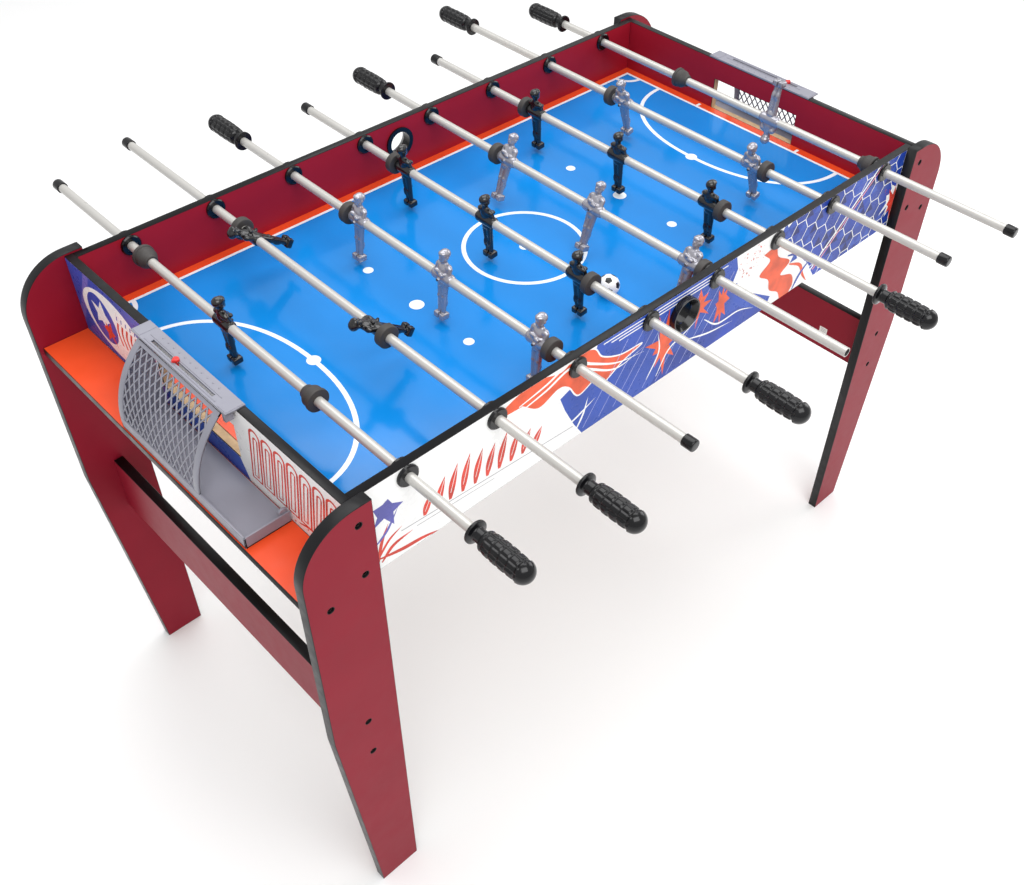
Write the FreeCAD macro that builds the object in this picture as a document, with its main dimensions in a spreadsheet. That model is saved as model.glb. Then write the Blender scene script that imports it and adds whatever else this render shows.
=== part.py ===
"""Foosball table: cabinet on four panel legs, eight sliding and turning rods, two goals.

Frame: millimetres, +Z up, origin on the floor under the middle of the table.
X runs along the table, from the left goal (-X) to the right goal (+X).
Y runs across it, from the front side (-Y) to the rear side (+Y).
Rods are numbered from 1 at the left end to 8 at the right end.
"""
import FreeCAD
import Part
import Sketcher
import math
import os

Vector = FreeCAD.Vector
Rotation = FreeCAD.Rotation

# Driving sizes: alias, value (millimetres, degrees where the name ends in tilt), meaning.
SIZES = [
    ("rod_spacing", 130, "distance between neighbouring rods"),
    ("rod_height", 778, "rod axis above the floor"),
    ("rod_radius", 6.35, "outside radius of the rod tube"),
    ("tube_wall", 1.2, "wall of the rod tube"),
    ("running_clearance", 0.07, "radial play of a rod in a bush or a bumper"),
    ("fixed_play", 0.05, "radial play of parts fixed on a rod or screwed on a bush"),
    ("assembly_gap", 0.3, "radial play of fixed round parts in their holes"),
    ("half_length", 539, "middle to the outer face of an end wall"),
    ("half_width", 295, "middle to the outer face of a side wall"),
    ("wall_thick", 12, "thickness of the walls and shelves"),
    ("wall_bottom", 658, "underside of the walls"),
    ("wall_top", 793, "top edge of the walls"),
    ("field_top", 707, "playing surface"),
    ("field_thick", 9, "thickness of the playfield board"),
    ("mouth_half_width", 85, "half width of a goal mouth"),
    ("mouth_height", 52, "height of a goal mouth above the playing surface"),
    ("leg_thick", 16, "thickness of a leg panel"),
    ("leg_top", 796, "top edge of a leg panel"),
    ("leg_inner", 513, "middle to the inner edge of a leg"),
    ("leg_outer", 610, "middle to the outer edge of a leg"),
    ("leg_corner", 75, "radius of the rounded top corner of a leg"),
    ("leg_bend", 423, "height where a leg starts to taper"),
    ("foot_outer", 577, "middle to the outer corner of a foot"),
    ("shelf_outer", 604, "middle to the outer edge of an end shelf"),
    ("shelf_top", 676, "top of an end shelf"),
    ("stretcher_middle", 559, "middle to the centre plane of a stretcher"),
    ("stretcher_thick", 15, "thickness of a stretcher"),
    ("stretcher_height", 100, "height of a stretcher"),
    ("stretcher_bottom", 336, "underside of a stretcher"),
    ("bolt_head_radius", 4, "head of a leg bolt"),
    ("bolt_head_height", 3, "height of the head"),
    ("bolt_recess", 5, "depth of the recess that hides the head"),
    ("bolt_radius", 2.5, "shank of a leg bolt"),
    ("bolt_length", 34, "shank length"),
    ("bolt_hole_spare", 1, "how much deeper a bolt hole is than its shank"),
    ("bolt_high", 770, "upper bolt of an end wall"),
    ("bolt_low", 690, "lower bolt of an end wall"),
    ("bolt_shelf_x", 582, "middle to the shelf bolt"),
    ("bolt_stretcher_offset", 35, "stretcher bolts above and below its middle"),
    ("port_height", 756, "centre of a ball-entry hole"),
    ("port_bore", 18, "bore of a ball-entry cup"),
    ("port_sleeve", 20.5, "outside of its sleeve"),
    ("port_flange", 25, "flange of a ball-entry cup"),
    ("port_flange_thick", 3, "thickness of the inner flange"),
    ("port_lip", 9, "how far the outer cup stands out"),
    ("port_rim", 2, "thickness of the cup's outer rim"),
    ("bush_flange", 14.5, "flange radius of a rod bush and its nut"),
    ("bush_flange_thick", 4, "thickness of flange and nut"),
    ("bush_sleeve", 10, "outside radius of the sleeve"),
    ("bush_thread_length", 15, "sleeve length behind the flange"),
    ("bush_chamfer", 1.5, "chamfer of flange and nut"),
    ("plate_half_length", 102, "half length of a goal's top plate"),
    ("plate_inner", 527, "middle to the plate's inner edge"),
    ("plate_outer", 553, "middle to the plate's outer edge"),
    ("plate_thick", 3, "thickness of the top plate"),
    ("slot_middle", 545, "middle to the centre line of the marker slot"),
    ("slot_width", 4, "width of the marker slot"),
    ("slot_half_length", 66, "half length of the marker slot"),
    ("rib_height", 6, "height of the rib under the plate that holds the net"),
    ("rib_outside", 1, "how far the rib stands out beyond the plate"),
    ("net_radius", 141, "outside radius of the bulged net"),
    ("net_thick", 2.5, "thickness of the net and the tray walls"),
    ("net_foot", 684, "height where the net stands upright, inside the tray wall"),
    ("net_open_end", 90, "middle to the net's open end"),
    ("net_closed_end", 88, "middle to the net's closed end"),
    ("tray_outer", 602, "middle to the tray's outer face"),
    ("tray_inner", 541, "middle to the tray's inner face"),
    ("tray_end", 182, "middle to the closed end of the tray"),
    ("tray_height", 17, "height of the tray walls"),
    ("cell_width", 14, "width of a net cell"),
    ("cell_height", 24, "height of a net cell, along the curve"),
    ("cell_bar", 2.6, "width of a net strand"),
    ("marker_radius", 5.5, "button of a score marker"),
    ("marker_height", 4, "height of the button"),
    ("marker_lift", 0.1, "air under the button"),
    ("marker_stem", 1.6, "radius of the stem in the slot"),
    ("marker_foot_radius", 3, "foot under the slot"),
    ("marker_foot_drop", 1.6, "plate's underside to the underside of the foot"),
    ("marker_foot_height", 1.5, "height of the foot"),
    ("left_marker_y", 14, "left score marker at rest"),
    ("right_marker_y", -48, "right score marker at rest"),
    ("ball_radius", 15.5, "ball"),
    ("ball_lift", 0.02, "air under the ball"),
    ("ball_x", 6.5, "ball at rest"),
    ("ball_y", -161, "ball at rest"),
    ("long_rod_grip", 494, "two-man rod: middle to the grip flange"),
    ("short_rod_grip", 461, "other rods: middle to the grip flange"),
    ("long_rod_cap", 466, "two-man rod: middle to the end of the cap"),
    ("short_rod_cap", 428, "other rods: middle to the end of the cap"),
    ("grip_length", 86, "length of a grip"),
    ("grip_flange", 14.5, "radius of the grip flange"),
    ("grip_flange_thick", 3.5, "thickness of the grip flange at its rim"),
    ("grip_neck", 8.5, "radius of the grip neck"),
    ("grip_neck_end", 15, "flange face to the end of the neck"),
    ("grip_shoulder", 21, "flange face to the shoulder of the grip"),
    ("grip_shoulder_length", 3, "length of the rounding behind the shoulder"),
    ("grip_radius", 14, "radius of the grip over its pads"),
    ("grip_pad", 12.5, "spacing of the grooves between the pads"),
    ("grip_groove", 1.4, "depth of the grooves between the pads"),
    ("grip_groove_half", 0.6, "half width of a groove at its floor"),
    ("grip_tip_wall", 6, "solid end of the grip"),
    ("grip_tube_stop", 8, "tip of the grip to the end of the tube inside"),
    ("cap_radius", 8, "radius of a rod end cap"),
    ("cap_length", 16, "length of a rod end cap"),
    ("cap_floor", 3, "thickness of the closed end of a cap"),
    ("cap_chamfer", 2, "chamfer of the closed end"),
    ("trio_spacing", 178, "spacing of three men on a rod"),
    ("pair_half_spacing", 131.5, "two-man rod: middle to a man"),
    ("trio_bumper", 200.5, "three-man rod: middle to the centre of a bumper"),
    ("pair_bumper", 156.5, "two-man rod: middle to the centre of a bumper"),
    ("goalie_bumper", 182, "goalkeeper rod: middle to the centre of a bumper"),
    ("bumper_radius", 15.5, "radius of a bumper"),
    ("bumper_chamfer", 1, "chamfer of a ring bumper"),
    ("bumper_length", 12, "length of a ring bumper"),
    ("cone_length", 24, "length of a goalkeeper's cone bumper"),
    ("cone_small_radius", 9, "inner end of a cone bumper"),
    ("cone_taper", 10, "length of the cone's taper"),
    ("cone_collar", 5, "length of the collar at the wall end, with its slope"),
    ("cone_collar_step", 1.5, "how far the collar stands out"),
    ("cone_collar_slope", 0.5, "length of the slope up to the collar"),
    ("foot_reach", 64, "rod axis to the underside of a man's foot"),
    ("foot_height", 12, "height of the foot block"),
    ("foot_half_width", 10, "half width of the foot block, along the rod"),
    ("foot_toe", 8, "rod axis to the toe, forward"),
    ("foot_heel", 7, "rod axis to the heel, backward"),
    ("head_reach", 41, "rod axis to the top of a man's head"),
    ("head_half_height", 10, "half height of the head"),
    ("head_half_width", 7.6, "half width of the head, along the rod"),
    ("head_half_depth", 8.4, "half depth of the head"),
    ("neck_radius", 5, "radius of the neck"),
    ("chest_half_width", 13.5, "half width of the chest, along the rod"),
    ("chest_half_depth", 7.5, "half depth of the chest"),
    ("shoulder_reach", 21, "rod axis to the top of the shoulders"),
    ("elbow_half_width", 16, "half width over the elbows"),
    ("forearm_front", 10, "rod axis to the front of the folded arms"),
    ("forearm_bottom", 4, "rod axis to the underside of the folded arms"),
    ("forearm_top", 14, "rod axis to the top of the folded arms"),
    ("neck_overlap", 4, "how far the neck reaches down into the chest"),
    ("chest_rounding", 4, "edge radius of the chest"),
    ("arms_rounding", 3, "edge radius of the folded arms"),
    ("foot_rounding", 2, "edge radius of the foot block"),
    ("hub_radius", 10, "radius of the hub that holds the rod"),
    ("hub_half_width", 14, "half width of the hub"),
    ("hip_half_width", 9, "half width of the legs at the hub"),
    ("ankle_half_width", 5.5, "half width of the legs at the foot"),
    ("hip_half_depth", 6.5, "half depth of the legs at the hub"),
    ("ankle_half_depth", 4.5, "half depth of the legs at the foot"),
    ("rod1_shift", 58, "rod 1 at rest, along Y"),
    ("rod2_shift", 60, "rod 2 at rest, along Y"),
    ("rod3_shift", -51, "rod 3 at rest, along Y"),
    ("rod4_shift", 9, "rod 4 at rest, along Y"),
    ("rod5_shift", -72, "rod 5 at rest, along Y"),
    ("rod6_shift", 2, "rod 6 at rest, along Y"),
    ("rod7_shift", -19, "rod 7 at rest, along Y"),
    ("rod8_shift", -84, "rod 8 at rest, along Y"),
    ("rod1_tilt", 3, "rod 1 at rest: feet swung toward +X"),
    ("rod2_tilt", 57, "rod 2 at rest"),
    ("rod3_tilt", -6, "rod 3 at rest"),
    ("rod4_tilt", 5, "rod 4 at rest"),
    ("rod5_tilt", -20, "rod 5 at rest"),
    ("rod6_tilt", 5, "rod 6 at rest"),
    ("rod7_tilt", 15, "rod 7 at rest"),
    ("rod8_tilt", 172, "rod 8 at rest: goalkeeper upside down"),
]

# Rods: number, men (1, 2 or 3), True if the grip is at the front, True if the far end has a cap.
RODS = [
    (1, 1, True, True),
    (2, 2, True, True),
    (3, 3, False, True),
    (4, 3, True, True),
    (5, 3, False, False),
    (6, 3, True, True),
    (7, 2, False, True),
    (8, 1, False, True),
]

doc = FreeCAD.newDocument("FoosballTable")
sheet = doc.addObject("Spreadsheet::Sheet", "Sizes")


class Size:
    """A length as a formula on the sheet, with its value for the first drawing."""

    def __init__(self, text, value):
        self.text = text
        self.value = float(value)

    def combine(self, other, sign, value_of):
        other = as_size(other)
        return Size(f"({self.text} {sign} {other.text})", value_of(self.value, other.value))

    def __add__(self, other):
        return self.combine(other, "+", lambda a, b: a + b)

    def __sub__(self, other):
        return self.combine(other, "-", lambda a, b: a - b)

    def __mul__(self, other):
        return self.combine(other, "*", lambda a, b: a * b)

    def __truediv__(self, other):
        return self.combine(other, "/", lambda a, b: a / b)

    def __neg__(self):
        return Size(f"(0 - {self.text})", -self.value)


def as_size(number):
    return number if isinstance(number, Size) else Size(repr(float(number)), number)


def fill_sheet():
    """Write the driving sizes to the sheet and return them by name."""
    sizes = {}
    for row, (alias, value, meaning) in enumerate(SIZES, start=1):
        sheet.set(f"A{row}", meaning)
        sheet.set(f"B{row}", str(value))
        sheet.setAlias(f"B{row}", alias)
        sizes[alias] = Size(f"Sizes.{alias}", value)
    doc.recompute()
    return sizes


size = fill_sheet()


def bind(item, **lengths):
    for name, length in lengths.items():
        item.setExpression(name, as_size(length).text)
    return item


def place(item, x=0, y=0, z=0, rotation=None):
    """Put an object at a formula-driven position, after an optional fixed turn."""
    spot = [as_size(v) for v in (x, y, z)]
    base = Vector(*(v.value for v in spot))
    item.Placement = FreeCAD.Placement(base, rotation or Rotation())
    for letter, length in zip("xyz", spot):
        item.setExpression(f"Placement.Base.{letter}", length.text)
    return item


ALONG_Y = Rotation(Vector(1, 0, 0), -90)
HALF_TURN = Rotation(Vector(0, 0, 1), 180)


def box(label, low, high):
    item = doc.addObject("Part::Box", label)
    low = [as_size(v) for v in low]
    high = [as_size(v) for v in high]
    bind(item, Length=high[0] - low[0], Width=high[1] - low[1], Height=high[2] - low[2])
    return place(item, *low)


def cylinder_y(label, radius, x, y_start, z, length):
    item = doc.addObject("Part::Cylinder", label)
    bind(item, Radius=radius, Height=length)
    return place(item, x, y_start, z, ALONG_Y)


def cylinder_z(label, radius, x, y, z, length):
    item = doc.addObject("Part::Cylinder", label)
    bind(item, Radius=radius, Height=length)
    return place(item, x, y, z)


def fused(label, pieces):
    item = doc.addObject("Part::MultiFuse", label)
    item.Shapes = pieces
    return item


def cut(label, base, tools):
    tool = tools[0]
    if len(tools) > 1:
        tool = doc.addObject("Part::Compound", f"{label}_tools")
        tool.Links = tools
    item = doc.addObject("Part::Cut", label)
    item.Base = base
    item.Tool = tool
    return item


def copy_of(source, label, x=0, y=0, z=0, rotation=None):
    item = doc.addObject("App::Link", label)
    item.setLink(source)
    return place(item, x, y, z, rotation)


def group(label, pieces, x=0, y=0, z=0, rotation=None):
    """One node of separate solids that share a placement."""
    item = doc.addObject("Part::Compound", label)
    item.Links = pieces
    return place(item, x, y, z, rotation)


def origin_part(body, role):
    return next(f for f in body.Origin.OriginFeatures if f.Role == role)


def outline(body, plane, corners, arcs=()):
    """Closed sketch through corners; arcs maps a corner number to (centre, ccw) of the arc after it."""
    arcs = dict(arcs)
    sketch = body.newObject("Sketcher::SketchObject", f"{body.Name}_sketch")
    sketch.AttachmentSupport = [(origin_part(body, plane), "")]
    sketch.MapMode = "FlatFace"
    corners = [(as_size(a), as_size(b)) for a, b in corners]
    points = [Vector(a.value, b.value, 0) for a, b in corners]
    # start and end vertex of each edge, as numbered by the sketcher
    ends = []
    for i, start in enumerate(points):
        end = points[(i + 1) % len(points)]
        if i in arcs:
            centre, ccw = arcs[i]
            middle = Vector(as_size(centre[0]).value, as_size(centre[1]).value, 0)
            angles = [math.atan2(p.y - middle.y, p.x - middle.x) for p in (start, end)]
            angles = angles if ccw else angles[::-1]
            circle = Part.Circle(middle, Vector(0, 0, 1), (start - middle).Length)
            sketch.addGeometry(Part.ArcOfCircle(circle, *angles), False)
            ends.append((1, 2) if ccw else (2, 1))
        else:
            sketch.addGeometry(Part.LineSegment(start, end), False)
            ends.append((1, 2))
    for i, (a, b) in enumerate(corners):
        before = (i - 1) % len(corners)
        sketch.addConstraint(Sketcher.Constraint("Coincident", before, ends[before][1], i, ends[i][0]))
        for kind, length in (("DistanceX", a), ("DistanceY", b)):
            number = sketch.addConstraint(
                Sketcher.Constraint(kind, -1, 1, i, ends[i][0], length.value))
            sketch.setExpression(f"Constraints[{number}]", length.text)
    for i, (centre, _) in arcs.items():
        length = as_size(centre[1])
        number = sketch.addConstraint(Sketcher.Constraint("DistanceY", -1, 1, i, 3, length.value))
        sketch.setExpression(f"Constraints[{number}]", length.text)
    return sketch


def padded(label, plane, corners, thickness, arcs=()):
    """Board cut to an outline; it grows away from the plane's front."""
    body = doc.addObject("PartDesign::Body", label)
    sketch = outline(body, plane, corners, arcs)
    pad = body.newObject("PartDesign::Pad", f"{label}_pad")
    pad.Profile = sketch
    bind(pad, Length=thickness)
    return body


def revolved(label, corners, arcs=()):
    """Round part about the Y axis; corners are (radius, distance along Y)."""
    body = doc.addObject("PartDesign::Body", label)
    sketch = outline(body, "XY_Plane", corners, arcs)
    turn = body.newObject("PartDesign::Revolution", f"{label}_turn")
    turn.Profile = sketch
    turn.ReferenceAxis = (sketch, ["V_Axis"])
    turn.Angle = 360
    return body


nodes = []


def node(label, item):
    item.Label = label
    nodes.append(item)
    return item


# ---------------------------------------------------------------- cabinet
inner_length = size["half_length"] - size["wall_thick"]
inner_width = size["half_width"] - size["wall_thick"]
rod_positions = [size["rod_spacing"] * (number - 4.5) for number, *_ in RODS]


def side_wall(label, y_low):
    board = box(f"{label}_board", (-inner_length, y_low, size["wall_bottom"]),
                (inner_length, y_low + size["wall_thick"], size["wall_top"]))
    holes = [cylinder_y(f"{label}_rod_hole_{i}", size["bush_sleeve"] + size["assembly_gap"],
                        x, y_low, size["rod_height"], size["wall_thick"])
             for i, x in enumerate(rod_positions, start=1)]
    holes.append(cylinder_y(f"{label}_port_hole", size["port_sleeve"] + size["assembly_gap"],
                            0, y_low, size["port_height"], size["wall_thick"]))
    return cut(label, board, holes)


node("front_side_wall", side_wall("front_wall", -size["half_width"]))
node("rear_side_wall", side_wall("rear_wall", inner_width))


def bolt_holes(label, x, y_start, heights, length):
    """Holes for the shanks of leg bolts that run along Y."""
    return [cylinder_y(f"{label}_{i}", size["bolt_radius"] + size["assembly_gap"], x, y_start, z, length)
            for i, z in enumerate(heights)]


end_middle = size["half_length"] - size["wall_thick"] / 2
end_bolts = [size["bolt_high"], size["bolt_low"]]
shelf_bolt = size["shelf_top"] - size["wall_thick"] / 2
stretcher_centre = size["stretcher_bottom"] + size["stretcher_height"] / 2
stretcher_bolts = [stretcher_centre + size["bolt_stretcher_offset"],
                   stretcher_centre - size["bolt_stretcher_offset"]]
# the shank reaches this far into the board behind the leg
bolt_depth = size["bolt_length"] - (size["leg_thick"] - size["bolt_recess"])
hole_depth = bolt_depth + size["bolt_hole_spare"]


def across_board(label, low, high, x, heights):
    """Board between the legs with bolt holes in both ends."""
    board = box(f"{label}_board", (low[0], -size["half_width"], low[1]),
                (high[0], size["half_width"], high[1]))
    holes = bolt_holes(f"{label}_front_hole", x, -size["half_width"], heights, hole_depth)
    holes += bolt_holes(f"{label}_rear_hole", x, size["half_width"] - hole_depth, heights, hole_depth)
    return board, holes


end_board, end_cuts = across_board(
    "end_wall", (-size["half_length"], size["wall_bottom"]), (-inner_length, size["wall_top"]),
    -end_middle, end_bolts)
end_cuts.append(box("goal_mouth", (-size["half_length"], -size["mouth_half_width"], size["field_top"]),
                    (-inner_length, size["mouth_half_width"], size["field_top"] + size["mouth_height"])))
left_end_wall = node("left_end_wall", cut("left_wall", end_board, end_cuts))
node("right_end_wall", group("right_wall", [copy_of(left_end_wall, "right_wall_copy")], rotation=HALF_TURN))

node("playfield", box("field", (-inner_length, -inner_width, size["field_top"] - size["field_thick"]),
                      (inner_length, inner_width, size["field_top"])))

left_shelf = node("left_end_shelf", cut("left_shelf", *across_board(
    "shelf", (-size["shelf_outer"], size["shelf_top"] - size["wall_thick"]),
    (-size["half_length"], size["shelf_top"]), -size["bolt_shelf_x"], [shelf_bolt])))
node("right_end_shelf", group("right_shelf", [copy_of(left_shelf, "right_shelf_copy")], rotation=HALF_TURN))

stretcher_half = size["stretcher_thick"] / 2
left_stretcher = node("left_stretcher", cut("left_rail", *across_board(
    "stretcher", (-size["stretcher_middle"] - stretcher_half, size["stretcher_bottom"]),
    (-size["stretcher_middle"] + stretcher_half, size["stretcher_bottom"] + size["stretcher_height"]),
    -size["stretcher_middle"], stretcher_bolts)))
node("right_stretcher", group("right_rail", [copy_of(left_stretcher, "right_rail_copy")], rotation=HALF_TURN))

# ---------------------------------------------------------------- legs
corner_x = -size["leg_outer"] + size["leg_corner"]
leg_outline = [
    (-size["leg_inner"], 0),
    (-size["leg_inner"], size["leg_top"]),
    (corner_x, size["leg_top"]),
    (-size["leg_outer"], size["leg_top"] - size["leg_corner"]),
    (-size["leg_outer"], size["leg_bend"]),
    (-size["foot_outer"], 0),
]
leg_arcs = {2: ((corner_x, size["leg_top"] - size["leg_corner"]), True)}
leg_panel = padded("leg_panel", "XZ_Plane", leg_outline, size["leg_thick"], leg_arcs)
place(leg_panel, y=-size["half_width"])

bolt_spots = [(-end_middle, z) for z in end_bolts]
bolt_spots.append((-size["bolt_shelf_x"], shelf_bolt))
bolt_spots += [(-size["stretcher_middle"], z) for z in stretcher_bolts]
leg_face = -size["half_width"] - size["leg_thick"]
leg_cuts = []
for i, (x, z) in enumerate(bolt_spots):
    leg_cuts.append(cylinder_y(f"leg_recess_{i}", size["bolt_head_radius"] + size["assembly_gap"],
                               x, leg_face, z, size["bolt_recess"]))
    leg_cuts.append(cylinder_y(f"leg_hole_{i}", size["bolt_radius"] + size["assembly_gap"],
                               x, leg_face, z, size["leg_thick"]))
front_left_leg = node("front_left_leg", cut("front_left", leg_panel, leg_cuts))
front_right_leg = doc.addObject("Part::Mirroring", "front_right")
front_right_leg.Source = front_left_leg
front_right_leg.Normal = Vector(1, 0, 0)
node("front_right_leg", front_right_leg)
node("rear_right_leg", group("rear_right", [copy_of(front_left_leg, "rear_right_copy")],
                             rotation=HALF_TURN))
node("rear_left_leg", group("rear_left", [copy_of(front_right_leg, "rear_left_copy")],
                            rotation=HALF_TURN))

# a bolt points into the table along +Y, its head ends at y = 0
bolt = fused("leg_bolt", [
    cylinder_y("bolt_head", size["bolt_head_radius"], 0, -size["bolt_head_height"], 0,
               size["bolt_head_height"]),
    cylinder_y("bolt_shank", size["bolt_radius"], 0, 0, 0, size["bolt_length"]),
])
bolt_seat = leg_face + size["bolt_recess"]
bolt_copies = []
for side in (-1, 1):
    for i, (x, z) in enumerate(bolt_spots):
        bolt_copies.append(copy_of(bolt, f"front_bolt_{side + 1}_{i}", x * side, bolt_seat, z))
        bolt_copies.append(copy_of(bolt, f"rear_bolt_{side + 1}_{i}", x * side, -bolt_seat, z, HALF_TURN))
node("leg_bolts", group("bolts", bolt_copies))

# ---------------------------------------------------------------- goals
net_centre_x = -size["tray_outer"] + size["net_radius"]
tray_top = size["shelf_top"] + size["tray_height"]


def net_curve(outer_radius):
    """Points of the net's curve in the XZ plane: at the plate, half way, at the foot."""
    centre = Vector(net_centre_x.value, 0, size["net_foot"].value)
    plate_x = -size["plate_outer"].value
    rise = math.sqrt(outer_radius ** 2 - (plate_x - centre.x) ** 2)
    angle = (math.pi + math.atan2(rise, plate_x - centre.x)) / 2
    middle = centre + Vector(math.cos(angle), 0, math.sin(angle)) * outer_radius
    foot = Vector(centre.x - outer_radius, 0, centre.z)
    return Vector(plate_x, 0, centre.z + rise), middle, foot


def slab(curve, way_back, y_low, y_high):
    """Solid along Y whose section is a net curve closed through the points of way_back."""
    face = Part.Face(Part.Wire([Part.Arc(*curve).toShape()] + way_back))
    face.translate(Vector(0, y_low, 0))
    return face.extrude(Vector(0, y_high - y_low, 0))


def lines_through(points):
    return [Part.makeLine(a, b) for a, b in zip(points, points[1:])]


def diamond(angle, y):
    """Radial prism that opens one net cell at an angle above the net's foot."""
    half_width = (size["cell_width"].value - size["cell_bar"].value) / 2
    half_height = size["cell_height"].value / 2 - size["cell_bar"].value
    outward = Vector(-math.cos(angle), 0, math.sin(angle))
    upward = Vector(math.sin(angle), 0, math.cos(angle))
    sideways = Vector(0, 1, 0)
    depth = 4 * size["net_thick"].value
    middle = Vector(net_centre_x.value, y, size["net_foot"].value)
    middle += outward * (size["net_radius"].value - depth / 2)
    tips = [middle + upward * half_height, middle + sideways * half_width,
            middle - upward * half_height, middle - sideways * half_width]
    face = Part.Face(Part.makePolygon(tips + tips[:1]))
    return face.extrude(outward * depth)


def net_cells(open_end, closed_end):
    """Staggered diamonds over the curved part of the net, inside a solid rim."""
    start = net_curve(size["net_radius"].value)[0]
    arc = math.atan2(start.z - size["net_foot"].value, net_centre_x.value - start.x)
    step = size["cell_height"].value / size["net_radius"].value / 2
    rows = int(arc / step) - 1
    lowest = (arc - (rows - 1) * step) / 2
    pitch = size["cell_width"].value
    columns = int((closed_end - open_end) / pitch) - 1
    first = (open_end + closed_end - (columns - 1) * pitch) / 2
    cells = []
    for row in range(rows):
        odd = row % 2
        for column in range(columns - odd):
            cells.append(diamond(lowest + row * step, first + (column + odd / 2) * pitch))
    return Part.makeCompound(cells)


def goal_net():
    """Curved net with diamond cells, closed at one end by a solid panel that reaches the wall."""
    open_end = -size["net_open_end"].value
    closed_end = size["net_closed_end"].value
    thick = size["net_thick"].value
    outer = net_curve(size["net_radius"].value)
    start, middle, foot = net_curve(size["net_radius"].value - thick)
    inner_way = [Part.makeLine(outer[2], foot), Part.Arc(foot, middle, start).toShape(),
                 Part.makeLine(start, outer[0])]
    shell = slab(outer, inner_way, open_end, closed_end)
    wall_side = -size["tray_inner"].value
    wall_way = lines_through([outer[2], Vector(wall_side, 0, outer[2].z),
                              Vector(wall_side, 0, outer[0].z), outer[0]])
    panel = slab(outer, wall_way, closed_end - thick, closed_end)
    return shell.cut(net_cells(open_end, closed_end)).fuse(panel)


net = doc.addObject("Part::Feature", "net")
net.Shape = goal_net()

plate = cut("plate", box("plate_board",
                         (-size["plate_outer"], -size["plate_half_length"], size["wall_top"]),
                         (-size["plate_inner"], size["plate_half_length"],
                          size["wall_top"] + size["plate_thick"])),
            [box("marker_slot",
                 (-size["slot_middle"] - size["slot_width"] / 2, -size["slot_half_length"], size["wall_top"]),
                 (-size["slot_middle"] + size["slot_width"] / 2, size["slot_half_length"],
                  size["wall_top"] + size["plate_thick"]))])
# the rib joins the net's upper end to the plate
rib = box("net_rib",
          (-size["plate_outer"] - size["rib_outside"], -size["net_open_end"],
           size["wall_top"] - size["rib_height"]),
          (-size["plate_outer"] + size["net_thick"], size["net_closed_end"],
           size["wall_top"] + size["plate_thick"] / 3))
tray_block = box("tray_block", (-size["tray_outer"], -size["tray_end"], size["shelf_top"]),
                 (-size["tray_inner"], size["net_closed_end"], tray_top))
tray_hollow = box("tray_hollow",
                  (-size["tray_outer"] + size["net_thick"], -size["tray_end"] + size["net_thick"],
                   size["shelf_top"] + size["net_thick"]),
                  (-size["tray_inner"], size["net_closed_end"] - size["net_thick"], tray_top))
tray = cut("tray", tray_block, [tray_hollow])
left_goal = node("left_goal", fused("goal", [plate, net, rib, tray]))
node("right_goal", group("right_goal_turned", [copy_of(left_goal, "right_goal_copy")], rotation=HALF_TURN))

plate_top = size["wall_top"] + size["plate_thick"]
marker = fused("score_marker", [
    cylinder_z("marker_button", size["marker_radius"], 0, 0, size["plate_thick"] + size["marker_lift"],
               size["marker_height"]),
    cylinder_z("marker_stem", size["marker_stem"], 0, 0, -size["marker_foot_drop"],
               size["marker_foot_drop"] + size["plate_thick"] + size["marker_lift"] * 2),
    cylinder_z("marker_foot", size["marker_foot_radius"], 0, 0, -size["marker_foot_drop"],
               size["marker_foot_height"]),
])
node("left_score_marker", group("left_marker", [copy_of(marker, "left_marker_copy")],
                                -size["slot_middle"], size["left_marker_y"], size["wall_top"]))
node("right_score_marker", group("right_marker", [copy_of(marker, "right_marker_copy")],
                                 size["slot_middle"], size["right_marker_y"], size["wall_top"]))

# ---------------------------------------------------------------- ball entry and ball
# seen from the inside of the table: y = 0 is the wall's inner face, +Y runs outward
cup = revolved("ball_cup", [
    (size["port_bore"], -size["port_flange_thick"]),
    (size["port_flange"], -size["port_flange_thick"]),
    (size["port_flange"], 0),
    (size["port_sleeve"], 0),
    (size["port_sleeve"], size["wall_thick"]),
    (size["port_flange"], size["wall_thick"]),
    (size["port_flange"], size["wall_thick"] + size["port_lip"]),
    (size["port_flange"] - size["port_rim"], size["wall_thick"] + size["port_lip"]),
    (size["port_bore"], size["wall_thick"]),
])
node("ball_entry_cups", group("cups", [
    copy_of(cup, "rear_cup", 0, inner_width, size["port_height"]),
    copy_of(cup, "front_cup", 0, -inner_width, size["port_height"], HALF_TURN),
]))

ball = doc.addObject("Part::Sphere", "ball_sphere")
bind(ball, Radius=size["ball_radius"])
place(ball, size["ball_x"], size["ball_y"], size["field_top"] + size["ball_radius"] + size["ball_lift"])
node("ball", ball)

# ---------------------------------------------------------------- rod bushes
bush_bore = size["rod_radius"] + size["running_clearance"]
nut_bore = size["bush_sleeve"] + size["fixed_play"]
nut_face = size["wall_thick"] + size["bush_flange_thick"]
bevel = size["bush_chamfer"]
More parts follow.
